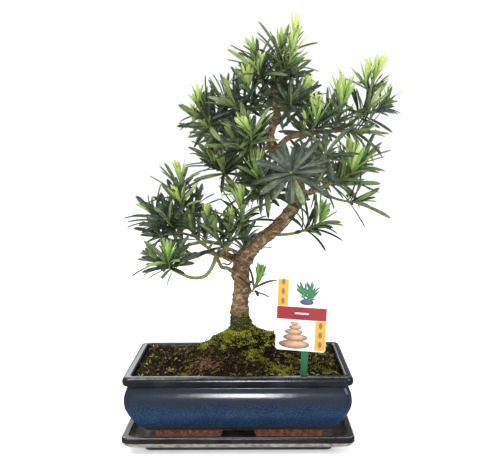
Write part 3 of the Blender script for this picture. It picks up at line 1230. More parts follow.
# Where on the trunk a knot stands: distance from its foot, turn in degrees, width and height
KNOTS = (
    (64.0, 200.0, 7.0, 2.2), (88.0, 330.0, 5.0, 2.2), (97.0, 90.0, 5.0, 1.6), (104.0, 215.0, 4.0, 1.8),
    (112.0, 160.0, 5.5, 2.6), (128.0, 20.0, 5.0, 2.2), (134.0, 260.0, 4.0, 1.6), (142.0, 120.0, 5.0, 2.0),
    (148.0, 190.0, 7.0, 3.0), (152.0, 320.0, 5.0, 2.2), (204.0, 250.0, 5.0, 1.5), (246.0, 60.0, 5.0, 1.6),
    (262.0, 220.0, 6.0, 1.8), (300.0, 150.0, 4.0, 1.2), (330.0, 40.0, 4.0, 1.1))

# The stump of each cut twig: distance along the trunk, turn, length and radius
CUT_TWIGS = ((246.0, 2.6, 7.0, 1.2), (180.0, 0.4, 5.0, 1.4), (118.0, 3.3, 4.0, 1.6), (290.0, 0.8, 5.0, 1.0),
             (212.0, 4.4, 3.0, 1.8))

# Short dead twigs that twist along the low left bough: the points of each, and its radii
ROUGH_TWIGS = (
    (((0, -6, 203), (-8, -12, 205), (-16, -15, 209), (-24, -14, 215)), (1.9, 1.5, 1.1)),
    (((-2, -5, 214), (-9, -8, 218), (-18, -13, 214), (-25, -15, 208)), (1.7, 1.3, 1.0)),
    (((-6, -9, 206), (-11, -14, 201), (-18, -16, 203)), (1.2, 0.9)),
    (((-12, -12, 212), (-13, -17, 219), (-11, -19, 223)), (1.3, 0.8)),
)


def rings_round(line, radii, turns):
    """Rings round a line, with as little turning as can be: place + radius (side cos u + top sin u)."""
    ahead = unit(np.gradient(line, axis=0))
    steady = np.eye(3)[np.argmin(np.max(np.abs(ahead), axis=0))]
    side = unit(np.cross(ahead, steady))
    return line[:, None] + directions_round(side, np.cross(ahead, side), turns) * radii[..., None]


def bark_relief(turns, distance, seed):
    """Relief of old bark from -1 to 1: lumps, wrinkles that run round the stem, and a fine crackle."""
    places = points_at(10.0 * np.cos(turns), 10.0 * np.sin(turns), distance[:, None])
    lumps = layered_noise(places * (1.0, 1.0, 0.8), 13.0, seed, 2)
    wrinkles = layered_noise(places * (1.0, 1.0, 2.3), 5.2, seed + 5, 2)
    crackle = lattice_noise(places * (1.0, 1.0, 1.5), 1.9, seed + 9)
    return 0.50 * lumps + 0.42 * wrinkles + 0.22 * crackle


def wooden_tube(build, stem, end, sides, depth, seed, is_trunk=False):
    """A stem's wood with the bark's relief on it. All but the trunk's swells at its foot and ends young."""
    distance = np.linspace(0.0, end, max(4, int(end / 1.1)))
    line, _, radii = stem.at(distance)
    turns = full_turn(sides)
    relief = bark_relief(turns, distance + 31.0 * seed, seed)
    young = 0.0 * distance if is_trunk else s_curve(distance, 0.45 * end, end + 4.0)
    reach = radii if is_trunk else radii * (1.0 + 0.45 * np.exp(-distance / 3.5))
    strength = depth * radii / 10.0 * (1.0 - 0.8 * young) + 0.12 * (1.0 - young)
    radius = reach[:, None] + relief * strength[:, None]
    for mark, turn, width, height in KNOTS if is_trunk else ():
        aside = np.abs((turns - math.radians(turn) + math.pi) % (2.0 * math.pi) - math.pi) * 9.5
        radius += height * np.exp(-((distance[:, None] - mark) ** 2 + aside ** 2) / width ** 2)
    points = rings_round(line, radius, turns)
    foot = s_curve(points[..., 2], 156.0, 128.0) if is_trunk else 0.0
    build.add_tube(points, relief=relief, foot=foot, young=np.repeat(young, sides))


def stub(build, stem, distance, turn, length, radius, seed):
    """The stump of a cut twig, square to the stem."""
    base, ahead, thick = stem.at(np.array([distance]))
    side = unit(np.cross(ahead, np.array([[0.0, 1.0, 0.2]])))
    out = side * math.cos(turn) + np.cross(ahead, side) * math.sin(turn)
    line = base + out * np.linspace(0.6 * thick[0], thick[0] + length, 9)[:, None]
    twig = Stem("stub", line, (radius * 1.5, radius, radius * 0.9))
    wooden_tube(build, twig, twig.total, 12, 3.0, seed)


def make_wood(settings, stems):
    """The trunk, its boughs' wood, and the stumps of cut twigs: one piece."""
    build = Build()
    trunk = stems["trunk"]
    depth = settings.bark_depth / MM
    wooden_tube(build, trunk, trunk.total, 84, depth, 1, is_trunk=True)
    rough = {"left_bough": 3.6, "loop_twig": 2.4}
    for number, stem in enumerate(stems.values()):
        if stem.name != "trunk" and stem.wood > 0.0:
            sides = 26 if stem.radii[0] > 3.0 else 16
            deep = rough.get(stem.name, 1.1) * depth
            wooden_tube(build, stem, min(stem.wood, stem.total), sides, deep, number)
    for distance, turn, length, radius in CUT_TWIGS:
        stub(build, trunk, distance, turn, length, radius, int(distance))
    for number, (route, radii) in enumerate(ROUGH_TWIGS):
        twig = Stem("twig", smooth_line(route), radii)
        wooden_tube(build, twig, twig.total, 10, 3.4 * depth, 50 + number)
    settle(build.finish("trunk_and_boughs", [bark_material(settings)]), "bark", "trunk_and_branches")


# Leaves

# A blade's section: how far across each point is, 1 if it is on the underside, and how deep it lies
ACROSS, UNDERSIDE, DEPTH = np.array([(-1.0, 0, 0), (-0.52, 0, 0), (0.0, 0, 0), (0.52, 0, 0), (1.0, 0, 0),
                                     (0.52, 1, 0.75), (0.0, 1, 1.0), (-0.52, 1, 0.75)]).T
LEAF_ROWS = 1.0 - (1.0 - np.linspace(0.0, 1.0, 9)) ** 1.3   # along the blade, closer towards its tip


def blade_outline(t, leaf):
    """Share of the full width: a sine rise from the foot, then a fall (1 - f^3.2)^tip."""
    rise = np.sin(0.5 * math.pi * np.clip(t / leaf["widest"], 0.0, 1.0)) ** 0.85
    fall = np.clip((t - leaf["widest"]) / (1.0 - leaf["widest"]), 0.0, 1.0)
    return (leaf["foot"] + (1.0 - leaf["foot"]) * rise) * (1.0 - fall ** 3.2) ** leaf["tip"]


def lay_leaves(build, leaf, base, along, up, length, width, curl, tone, draw, fold=0.24, thick=0.60):
    """Blades whose centre is base + length (t along - curl t^2 up) - sag t^2, with a lens-shaped section.

    Each turns a little about its centre, sweeps a little sideways, and is folded up along its rib.
    """
    count = len(base)
    t = LEAF_ROWS[None, :, None]
    sag = points_at(0.0, 0.0, LEAF_SAG * length * np.hypot(along[:, 0], along[:, 1]))[:, None]
    across = unit(np.cross(up, along))[:, None]
    size, along, curved = length[:, None, None], along[:, None], (curl[:, None] * up)[:, None]
    curved = draw.normal(0.0, 0.035, (count, 1, 1)) * across - curved
    centre = base[:, None] + size * (t * along + t ** 2 * curved) - t ** 2 * sag
    tangent = unit(size * (along + 2.0 * t * curved) - 2.0 * t * sag)
    top = unit(np.cross(tangent, across))
    level = np.cross(top, tangent)
    twist = draw.normal(0.0, 0.22, (count, 1, 1)) * t
    level, top = level * np.cos(twist) + top * np.sin(twist), top * np.cos(twist) - level * np.sin(twist)
    half = 0.5 * width[:, None, None] * blade_outline(LEAF_ROWS, leaf)[:, None]
    aside = ACROSS * half
    lift = fold * np.abs(aside) - DEPTH * thick * np.minimum(1.0, half / 1.2)
    points = centre[:, :, None] + level[:, :, None] * aside[..., None] + top[:, :, None] * lift[..., None]
    wall = turned_over(grid_faces(len(LEAF_ROWS), 8, around=True))
    faces = [repeated(group, count, 8 * len(LEAF_ROWS)) for group in (wall, ring_cap(0, 8))]
    values = np.broadcast_arrays(t, 0.5 + 0.5 * ACROSS, UNDERSIDE, tone.reshape(count, -1, 1))
    build.add(points, *faces, leaf=np.stack(values, axis=-1))


def spiral_directions(stem, back, angle, opening, lift=0.0):
    """Where each leaf of a spiral starts, which way it points, and which way its upper face looks.

    The leaves lean up from the spiral's own direction by a share `lift`.
    """
    base, ahead, _ = stem.at(stem.total - back)
    steady = np.where(np.abs(ahead[:, 2:]) < 0.9, (0.2, 0.1, 1.0), (1.0, 0.2, 0.1))
    side = unit(np.cross(ahead, steady))
    top = np.cross(ahead, side)
    outward = side * np.cos(angle)[:, None] + top * np.sin(angle)[:, None]
    opening = opening[:, None]
    along = unit(ahead * np.cos(opening) + outward * np.sin(opening) + (0.0, 0.0, lift))
    face = ahead * np.sin(opening) - outward * np.cos(opening)
    return base, along, unit(face - along * np.sum(face * along, axis=-1, keepdims=True))


def leaf_spiral(stem):
    """The stem's leaves from its tip down, a golden turn apart, each opening wider than the one above."""
    draw = random.Random(stem.name)
    is_old = stem.leaf is OLD_LEAF
    count = round((3.4 - 0.7 * stem.low) * stem.leaves) if is_old else stem.leaves + 7
    start = draw.uniform(0.0, 2.0 * math.pi)
    closed, opened = stem.spread
    if stem.bud and is_old:
        closed = max(closed, 44.0)
    rows = []
    for number in range(count):
        share = number / (count - 1)
        opening = closed + (opened - closed) * share ** 0.8 + draw.gauss(0.0, 8.0)
        growth = 0.78 + 0.22 * math.sin(math.pi * min(share + 0.25, 1.0))
        if number < TIP_LEAVES and stem.bud:
            growth = 0.66 + 0.05 * number
        elif number < TIP_LEAVES and is_old:
            opening, growth = 6.0 + 4.0 * number, 0.58 + 0.05 * number
        stretch = stem.length * growth * draw.uniform(0.74, 1.06)
        turn = start + GOLDEN_TURN * number + draw.gauss(0.0, 0.25 if is_old else 0.07)
        rows.append((FIRST_LEAF + stem.zone * share, turn, math.radians(opening), stretch,
                     draw.uniform(0.02, 0.36)))
    return np.array(rows).T


def kept_inside(base, along, up, curl, length):
    """The lengths, cut so that no leaf passes the packed box, with room for its curl and its sweep."""
    low, high = np.array(CAD_BOX) / MM
    for ahead in (along, along - curl[:, None] * up):
        room = np.where(ahead > 0.0, high - 1.5 - base, base - low - 1.5)
        length = np.minimum(length, np.min(room / np.maximum(np.abs(ahead) + 0.04, 0.06), axis=-1))
    return length


def green_tube(build, stem, start):
    """A stem's green stretch, with a slight swelling at each leaf's foot and a rounded tip."""
    distance = np.linspace(start, stem.total, max(4, int((stem.total - start) / 1.6)))
    line, _, radii = stem.at(distance)
    rounding = np.sqrt(np.clip((stem.total - distance) / 1.5, 0.02, 1.0))
    ends = rounding * np.clip(0.8 + (distance - start) / 6.0, 0.0, 1.0)
    swell = 1.0 + 0.10 * np.sin(distance * 2.0 * math.pi / 4.3)
    points = rings_round(line, (radii * ends * swell)[:, None], full_turn(9))
    tone = 0.25 + 0.75 * s_curve(distance, start, start + 25.0) if stem.wood else np.ones(len(distance))
    build.add_tube(points, kind=1, tone=np.repeat(tone, 9))


def bear_leaves(build, stem, settings):
    """A stem's mature leaves, lighter towards its tip. On a stem that faces the viewer they lean up more."""
    back, angle, opening, stretch, curl = leaf_spiral(stem)
    count, is_old = len(back), stem.leaf is OLD_LEAF
    facing = abs(stem.at(stem.total)[1][1])
    lift = LEAF_LIFT + 0.4 * facing if is_old else 0.0
    base, along, up = spiral_directions(stem, back, angle, opening, lift)
    draw = np.random.default_rng(list(stem.name.encode()))
    tip_tone = np.where((np.arange(count) < TIP_LEAVES) & is_old, 0.45, 0.0)
    tone = tip_tone - 0.30 * np.linspace(0.0, 1.0, count) - 0.08 * stem.low - 0.22 * facing
    tone += 0.30 + draw.normal(0.0, 0.12) + draw.normal(0.0, 0.30, count)
    tone = np.clip(tone, 0.0, 1.0) * (1.0 if is_old else 0.5)
    length = kept_inside(base, along, up, curl, settings.leaf_length / MM * stretch)
    width = settings.leaf_width / MM * (1.0 + 0.3 * stem.low if is_old else 1.6)
    width = width * np.sqrt(stretch) * draw.uniform(0.9, 1.1, count)
    lay_leaves(build, stem.leaf, base, along, up, length, width, curl, tone, draw)


def make_leafy_stems(settings, stems):
    """Each bough's green stretches with their mature leaves: one piece for each node that it stands for."""
    leaf = leaf_material("Mature Leaf", settings.leaf, settings.leaf_light, settings.leaf_below,
                         settings.leaf_rib, 0.30)
    materials = [leaf, twig_material(settings)]
    pads = {}
    for stem in stems.values():
        if stem.name != "trunk" and stem.wood < stem.total - 3.0:
            pads.setdefault(stem.pad, []).append(stem)
    for pad, members in pads.items():
        build = Build()
        for stem in members:
            green_tube(build, stem, max(stem.wood - 1.0, 0.0))
            if stem.leaves:
                bear_leaves(build, stem, settings)
        settle(build.finish("foliage_" + pad, materials, sharp=48), "mature_leaf", "leafy_stem_" + pad)


def grow_new_leaves(build, tip, ahead, bud, name, count, settings):
    """A bundle of new leaves on its short axis: a steep spiral, closer to the axis towards its top."""
    height = np.linalg.norm(bud - tip)
    longest = 0.95 * height if height <= 16.0 else float(np.clip(NEW_LEAF_SHARE * height, *NEW_LEAF_RANGE))
    if height > SPIRE["height"]:
        longest = SPIRE["leaf"]
    end = tip + (bud - tip) * max(1.0 - 0.93 * longest / height, 0.16)
    start = tip + ahead * 0.3
    axis = Stem(name, spaced(np.array([start, start + 2.0 * ahead, end]), 0.7), (1.35, 0.7))
    draw = random.Random(name + " bud")
    turn = draw.uniform(0.0, 2.0 * math.pi)
    rows = []
    for number in range(count):
        share = number / (count - 1)
        opening = math.radians(6.0 + 20.0 * share + draw.gauss(0.0, 4.5))
        rows.append((0.7 + (axis.total - 2.4) * share, turn + GOLDEN_TURN * number, opening,
                     longest * draw.uniform(0.78, 1.0), draw.uniform(-0.10, 0.08)))
    back, angle, opening, length, curl = np.array(rows).T
    base, along, up = spiral_directions(axis, back, angle, opening)
    noise = np.random.default_rng(list(name.encode()))
    fade = GREENER.get(name, 0.0) + 0.40 * np.linspace(0.0, 1.0, count)
    tip_tone = np.clip(1.0 - fade + noise.normal(0.0, 0.18, count), 0.0, 1.0)
    tone = np.clip(tip_tone[:, None] * (0.05 + 1.1 * LEAF_ROWS), 0.0, 1.0)
    width = settings.new_leaf_width / MM * np.sqrt(length / 27.0) * noise.uniform(0.88, 1.06, count)
    length = kept_inside(base, along, up, curl, length)
    green_tube(build, axis, 0.0)
    lay_leaves(build, YOUNG_LEAF, base, along, up, length, width, curl, tone, noise, fold=0.22, thick=0.4)


# Small pale shoots between the mature leaves: where each starts and where it ends
SMALL_GROWTH = (
    ((-53, -12, 240), (-56, -12, 257)), ((-5, -34, 244), (-8, -36, 260)), ((-34, -22, 250), (-35, -22, 266)),
    ((-19, 8, 309), (-21, 6, 326)), ((77, -14, 356), (78, -16, 376)), ((173, 14, 384), (178, 13, 402)),
    ((49, 12, 442), (54, 10, 474)), ((8, 8, 234), (8, 7, 252)), ((24, -28, 417), (25, -30, 436)),
    ((-44, -14, 383), (-43, -14, 407)), ((-49, -16, 360), (-50, -16, 384)), ((5, -36, 352), (6, -38, 377)),
    ((-28, 10, 312), (-28, 10, 335)),
)


def make_new_growth(settings, stems):
    """The pale bundles at the tips, a piece for each node, and one piece of small ones between the leaves."""
    leaf = leaf_material("New Leaf", settings.new_leaf, settings.new_leaf_tip, settings.new_leaf_below,
                         settings.new_leaf_rib, 0.40, paler=0.25, subsurface=0.12)
    materials = [leaf, twig_material(settings)]
    for stem in stems.values():
        if stem.bud is None:
            continue
        tip, ahead, _ = stem.at(stem.total)
        bud = np.array(stem.bud, float)
        count = NEW_LEAVES[1 if np.linalg.norm(bud - tip) > TALL_GROWTH else 0]
        build = Build()
        grow_new_leaves(build, tip, ahead, bud, stem.name, count, settings)
        piece = build.finish("fresh_shoot_" + stem.name, materials, sharp=48)
        settle(piece, "new_leaf", "new_growth_" + stem.name)
    build = Build()
    for number, (tip, bud) in enumerate(SMALL_GROWTH):
        tip, bud = np.array(tip, float), np.array(bud, float)
        grow_new_leaves(build, tip, unit(bud - tip), bud, "small {}".format(number), 6, settings)
    settle(build.finish("small_fresh_shoots", materials, sharp=48), "new_leaf")


# Plant label and drain screens

CARD_THICKNESS = 0.8
CARD_FOOT = np.array((68.5, -72.0, 113.0))
CARD_LEAN, CARD_TURN = math.radians(2.5), math.radians(-9.0)
BAND, RULE, STRIP, LEAVES, ORNAMENT, STONE, BLUE_STONE = range(7)

# Printed patches: left, right, low and high edge on the card, how far ahead of it, and the ink
PATCHES = ((-27.3, 27.3, 34.5, 48.5, 0.05, BAND), (-7.5, 7.5, 40.7, 42.3, 0.09, RULE),
           (-27.0, -15.5, 49.0, 78.5, 0.05, STRIP), (15.5, 27.0, 1.5, 33.8, 0.05, STRIP))
ORNAMENTS = [(x, foot + 10.5 * number) for x, foot in ((-21.2, 50.5), (21.2, 4.0)) for number in range(3)]

# The stack of stones: across and up to the middle of each, its width and its height
STACK = ((-7.0, 7.0, 34.0, 10.0), (-6.0, 14.6, 27.0, 8.0), (-8.0, 20.8, 20.0, 6.4), (-6.5, 25.9, 14.0, 5.0),
         (-7.4, 30.2, 9.0, 4.0))


def on_card(across, up, ahead):
    """A place on the card: across from its middle, up from its foot, and ahead of its front face."""
    lean = np.array([[math.cos(CARD_LEAN), 0.0, math.sin(CARD_LEAN)], [0.0, 1.0, 0.0],
                     [-math.sin(CARD_LEAN), 0.0, math.cos(CARD_LEAN)]])
    turn = np.array([[math.cos(CARD_TURN), -math.sin(CARD_TURN), 0.0],
                     [math.sin(CARD_TURN), math.cos(CARD_TURN), 0.0], [0.0, 0.0, 1.0]])
    return points_at(across, -CARD_THICKNESS / 2.0 - ahead, up) @ (turn @ lean).T + CARD_FOOT


def printed_patch(build, left, right, low, high, level, kind):
    """A flat patch on the card's front, as a thin tile with its sides."""
    across = np.array((left, right, right, left))
    up = np.array((low, low, high, high))
    points = np.concatenate([on_card(across, up, level), on_card(across, up, -0.1)])
    sides = [(i, 4 + i, 4 + (i + 1) % 4, (i + 1) % 4) for i in range(4)]
    build.add(points, np.array([(0, 1, 2, 3)]), np.array(sides), kind=kind, tone=0.5)


def printed_leaf(build, x, z, turn, length, width, kind, tone, level):
    """A pointed leaf shape: half its width is width/2 sin(pi t)^0.8 along its length."""
    t = np.linspace(0.02, 0.98, 9)
    half = 0.5 * width * np.sin(math.pi * t) ** 0.8
    reach = length * np.concatenate([t, t[::-1]])
    aside = np.concatenate([half, -half[::-1]])
    across = x + reach * math.sin(turn) + aside * math.cos(turn)
    up = z + reach * math.cos(turn) - aside * math.sin(turn)
    points = on_card(across, up, level)
    build.add(points, np.arange(18)[::-1].reshape(1, -1), kind=kind, tone=tone)


def printed_stone(build, x, z, width, height, kind, level):
    """A rounded stone as rings round its lit spot: pale in the middle and dark at its rim."""
    turns = full_turn(24)
    scale = np.array((1.0, 0.68, 0.12))[:, None]
    shift = np.array((0.0, 0.07, 0.13))[:, None]
    across = x + width * (0.5 * scale * np.cos(turns) + shift)
    up = z + height * (0.5 * scale * np.sin(turns) + shift)
    build.add(on_card(across, up, level), grid_faces(3, 24, around=True), ring_cap(48, 24), kind=kind,
              tone=np.repeat((0.0, 0.5, 1.2), 24))


def make_label(settings):
    """The label's print: a band, two strips, a leafy spray over a blue stone, and stacked stones."""
    card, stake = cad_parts["label_card"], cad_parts["label_stake"]
    dress_node(card, plastic_material("Label Card", settings.card, 0.38, 0.93))
    dress_node(stake, plastic_material("Stake Plastic", settings.stake, 0.5))
    build = Build()
    for printed in PATCHES:
        printed_patch(build, *printed)
    for x, foot in ORNAMENTS:
        printed_leaf(build, x, foot, 0.0, 8.0, 4.2, ORNAMENT, 0.4, 0.09)
    draw = random.Random(5)
    for number in range(34):
        turn = math.radians(-78.0 + 156.0 * (number * 0.382 % 1.0))
        x, z = 5.0 + draw.uniform(-5.0, 5.0), 56.0 + draw.uniform(0.0, 11.0)
        size, tone = (draw.uniform(9.0, 15.0), draw.uniform(1.8, 2.8)), draw.uniform(0.0, 1.0)
        printed_leaf(build, x, z, turn, *size, LEAVES, tone, 0.05 + 0.002 * number)
    printed_stone(build, 5.0, 54.5, 15.0, 6.5, BLUE_STONE, 0.14)
    for number, stone in enumerate(STACK):
        printed_stone(build, *stone, STONE, 0.05 + 0.01 * number)
    inks = (("Printed Band", settings.band, settings.band_dark, 30.0),
            ("Printed Rule", (0.80, 0.80, 0.80), (0.90, 0.90, 0.90), 12.0),
            ("Printed Strip", settings.strip, settings.strip_dark, 12.0),
            ("Printed Leaves", (0.004, 0.09, 0.045), (0.05, 0.22, 0.10), 3.0),
            ("Printed Ornament", (0.30, 0.12, 0.03), (0.36, 0.16, 0.05), 3.0),
            ("Printed Stones", settings.stone_dark, settings.stone, 4.0),
            ("Printed Blue", (0.012, 0.016, 0.06), (0.09, 0.12, 0.26), 4.0))
    materials = [scatter_material(name, *colours, 0.42, 0.02, size) for name, *colours, size in inks]
    settle(build.finish("label_print", materials, flat=True), "label_card")


def dress_node(node, material):
    """Gives a packed part that keeps its own shape a better material in all its slots."""
    for slot in node.material_slots:
        slot.material = material


def finish_screens():
    """Gives the drain screens, which keep their packed shape, their black plastic."""
    black = plastic_material("Screen Plastic", (0.02, 0.02, 0.022), 0.5)
    for name in ("drain_screen_left", "drain_screen_right"):
        dress_node(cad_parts[name], black)


# Stage

CAMERA_PLACE = (0.0193, -1.040, 0.336)
CAMERA_YAW, CAMERA_PITCH, CAMERA_ROLL = 0.0053, 0.0990, -0.005
SENSOR_WIDTH, FOCAL_LENGTH = 36.0, 64.62


def make_floor(settings):
    """A broad pale floor that shines by itself, more so far from the pot, and isn't mirrored in the glaze."""
    turns = full_turn(96)
    rings = np.array([[0.0], [0.25], [0.6], [1.2], [2.4], [5.0]]) / MM
    build = Build()
    build.add(points_at(rings * np.cos(turns), rings * np.sin(turns), -0.2),
              turned_over(grid_faces(len(rings), len(turns), around=True)))
    nodes, place = new_material("Studio Floor")
    cloud = nodes.mottle(place, 400.0, 0.6)
    away = nodes.add("VectorMath", operation="LENGTH")
    nodes.put(away.inputs[0], place)
    glow = nodes.step(away.outputs["Value"], 150.0, 900.0, settings.floor_glow, settings.floor_glow + 0.28)
    darker = tuple(0.985 * value for value in settings.floor)
    material = nodes.dress(base_color=nodes.mix(cloud, settings.floor, darker),
                           roughness=nodes.times_plus(cloud, 0.05, 0.60), specular_ior_level=0.15,
                           emission_color=(0.97, 0.985, 1.0), emission_strength=glow)
    floor = build.finish("studio_floor", [material])
    floor.visible_glossy = False


def make_surround(settings):
    """Even light from all sides: white to the camera, softer on the pieces, and dim in reflections."""
    world = bpy.data.worlds.new("Studio")
    world.use_nodes = True
    bpy.context.scene.world = world
    nodes = Nodes(world.node_tree)
    path = nodes.add("LightPath").outputs
    soft = settings.surround_strength
    lit = nodes.times_plus(path["Is Glossy Ray"], settings.mirror_strength - soft, soft)
    shown = nodes.times(path["Is Camera Ray"], 1.0 - soft)
    nodes.fill(world.node_tree.nodes["Background"], color=settings.surround, strength=nodes.plus(lit, shown))


def make_lamps(settings):
    """Soft lamps: the name, place, height aimed at above the saucer, size, power and tint of each."""
    lamps = (
        ("Key", (-0.55, -0.85, 1.30), 0.22, (0.75, 0.60), settings.key_power, (1.0, 0.985, 0.96)),
        ("Fill", (1.05, -0.75, 0.80), 0.20, (0.90, 0.72), settings.fill_power, (0.95, 0.975, 1.0)),
        ("Top", (0.10, 0.25, 1.45), 0.20, (0.90, 0.72), settings.top_power, (1.0, 1.0, 1.0)),
        ("Back", (-0.30, 1.35, 0.75), 0.20, (1.0, 0.80), settings.back_power, (0.97, 0.98, 1.0)),
        ("Front", (-0.01, -1.35, 0.33), 0.08, (0.15, 0.42), settings.front_power, (1.0, 1.0, 1.0)),
    )
    for name, place, aim, size, watts, tint in lamps:
        lamp = bpy.data.lights.new(name, "AREA")
        lamp.shape, lamp.size, lamp.size_y = "RECTANGLE", *size
        lamp.energy, lamp.color = watts, tint
        holder = bpy.data.objects.new(name, lamp)
        holder.location = place
        ahead = Vector((0.0, 0.0, aim)) - Vector(place)
        holder.rotation_euler = ahead.to_track_quat("-Z", "Y").to_euler()
        holder.visible_diffuse = name != "Front"
        bpy.context.scene.collection.objects.link(holder)


def make_camera():
    """The photograph's view: yaw and pitch by turning, roll about the line of sight."""
    yaw, pitch, roll = CAMERA_YAW, CAMERA_PITCH, CAMERA_ROLL
    ahead = Vector((-math.sin(yaw) * math.cos(pitch), math.cos(yaw) * math.cos(pitch), -math.sin(pitch)))
    right = Vector((math.cos(yaw), math.sin(yaw), 0.0))
    up = right.cross(ahead)
    right, up = math.cos(roll) * right + math.sin(roll) * up, math.cos(roll) * up - math.sin(roll) * right
    lens = bpy.data.cameras.new("Camera")
    lens.sensor_width, lens.lens = SENSOR_WIDTH, FOCAL_LENGTH
    camera = bpy.data.objects.new("Camera", lens)
    turn = Matrix((right, up, -ahead)).transposed().to_4x4()
    camera.matrix_world = Matrix.Translation(CAMERA_PLACE) @ turn
    bpy.context.scene.collection.objects.link(camera)
    bpy.context.scene.camera = camera


def make_stage(settings):
    """The studio: camera, floor, surround and lamps, shown with plain colours."""
    bpy.context.scene.view_settings.view_transform = "Standard"
    make_camera()
    make_floor(settings)
    make_surround(settings)
    make_lamps(settings)


# Settings

def colour(name, description, red, green, blue):
    return bpy.props.FloatVectorProperty(name=name, description=description, subtype="COLOR", size=3,
                                         min=0.0, max=1.0, default=from_picker(red, green, blue))


def length(name, description, size, low=0.0, high=500.0):
    return bpy.props.FloatProperty(name=name, description=description, subtype="DISTANCE", unit="LENGTH",
                                   default=size * MM, min=low * MM, max=high * MM, precision=4)


def factor(name, description, share):
    return bpy.props.FloatProperty(name=name, description=description, subtype="FACTOR", default=share,
                                   min=0.0, max=1.0)


def number(name, description, count, low, high):
    return bpy.props.IntProperty(name=name, description=description, default=count, min=low, max=high)


def power(name, description, watts):
    return bpy.props.FloatProperty(name=name, description=description, unit="POWER", default=watts, min=0.0)


class PotSettings(bpy.types.PropertyGroup):
    """Glazes and clay of the pot."""
    corner_steps: number("Corner Steps", "Stations round each corner of the wall", 10, 4, 24)
    glaze: colour("Glaze", "Main blue of the bowl", 33, 55, 87)
    glaze_light: colour("Light Glaze", "Blue where the glaze is thick", 47, 75, 112)
    glaze_dark: colour("Dark Glaze", "Blue-black grain in the glaze", 14, 22, 36)
    glaze_shoulder: colour("Shoulder Glaze", "Grey-black under the rim", 38, 43, 50)
    glaze_speck: colour("Glaze Specks", "Pale specks in the blue", 70, 102, 142)
    speckle: factor("Speckle", "How clearly the specks show", 0.8)
    rim: colour("Rim", "Slate glaze of the rim", 44, 47, 54)
    rim_dark: colour("Dark Rim", "Dark parts of the rim's glaze", 20, 22, 28)
    rim_worn: colour("Worn Rim", "Thin glaze along the rim's edges", 104, 102, 104)
    clay: colour("Clay", "Bare clay of the feet", 226, 152, 114)
    clay_dark: colour("Dark Clay", "Stains on the bare clay", 150, 86, 64)


class SaucerSettings(bpy.types.PropertyGroup):
    """Glazes of the saucer."""
    corner_steps: number("Corner Steps", "Stations round each corner of the wall", 10, 4, 24)
    glaze: colour("Glaze", "Brown-grey glaze of the tray", 56, 54, 54)
    glaze_dark: colour("Dark Glaze", "Dark parts of the glaze and the plinth", 20, 19, 22)
    worn: colour("Worn Edge", "Thin glaze along the edges", 176, 172, 168)
    sand: colour("Thin Glaze", "Sandy glaze under the lip", 188, 185, 175)
    sand_dark: colour("Dark Thin Glaze", "Stains under the lip", 92, 91, 84)


class GroundSettings(bpy.types.PropertyGroup):
    """Soil, litter and moss."""
    soil: colour("Soil", "Moist soil", 21, 15, 8)
    soil_dark: colour("Dark Soil", "Soil in the pits", 8, 6, 3)
    soil_light: colour("Light Soil", "Drier grains", 78, 62, 40)
    grit: colour("Grit", "Mineral specks", 168, 156, 140)
    root: colour("Roots", "Root fibres at the surface", 90, 50, 30)
    crumb_count: number("Crumbs", "Loose crumbs on the soil", 3600, 0, 6000)
    moss: colour("Moss", "Moss tips", 146, 154, 42)
    moss_light: colour("Light Moss", "Moss tips in bright patches", 238, 242, 100)
    moss_deep: colour("Deep Moss", "Greener moss", 78, 106, 30)
    moss_dry: colour("Dry Moss", "Brown tufts between the green ones", 120, 88, 48)
    moss_dark: colour("Moss Base", "Moss between the tips", 18, 17, 7)
    tuft_count: number("Moss Tufts", "Tufts of spikes on the cushion and round it", 1700, 0, 2400)
    tuft_size: length("Tuft Size", "Length of a tuft's spikes", 3.5, 0.5, 8.0)


class TreeSettings(bpy.types.PropertyGroup):
    """Wood, leaves and new growth."""
    leaf_length: length("Leaf Length", "Length of a mature leaf", 47.0, 20.0, 80.0)
    leaf_width: length("Leaf Width", "Width of a mature leaf", 4.6, 3.0, 14.0)
    new_leaf_width: length("New Leaf Width", "Width of a new leaf", 4.7, 2.0, 12.0)
    bark_depth: length("Bark Depth", "Height of the bark's relief on the trunk", 2.1, 0.0, 4.0)
    leaf: colour("Leaf", "Mature leaf in its darkest green", 34, 48, 40)
    leaf_light: colour("Light Leaf", "Mature leaf in its lightest green", 160, 184, 106)
    leaf_below: colour("Leaf Underside", "Paler underside", 122, 140, 94)
    leaf_rib: colour("Leaf Rib", "Rib of a mature leaf", 84, 104, 76)
    new_leaf: colour("New Leaf", "Outer new leaves and their feet", 92, 148, 46)
    new_leaf_tip: colour("New Leaf Tip", "Tips and inner new leaves", 214, 226, 136)
    new_leaf_below: colour("New Leaf Underside", "Underside of a new leaf", 172, 198, 116)
    new_leaf_rib: colour("New Leaf Rib", "Rib of a new leaf", 196, 216, 132)
    twig: colour("Green Stem", "Yellow-green stem", 116, 122, 66)
    twig_light: colour("Light Stem", "Pale flecks on the stem", 148, 150, 92)
    twig_brown: colour("Brown Stem", "Stem where it turns woody", 118, 96, 60)
    bark: colour("Bark", "Main brown of the bark", 124, 101, 70)
    bark_red: colour("Reddish Bark", "Reddish patches", 142, 108, 70)
    bark_pale: colour("Pale Bark", "Flakes on the ridges", 198, 174, 134)
    bark_dark: colour("Dark Bark", "Pits and cracks", 50, 36, 25)
    moss_film: colour("Moss Film", "Green film on the trunk's foot", 60, 66, 22)
    moss_film_dark: colour("Dark Moss Film", "Its darker parts", 30, 30, 14)


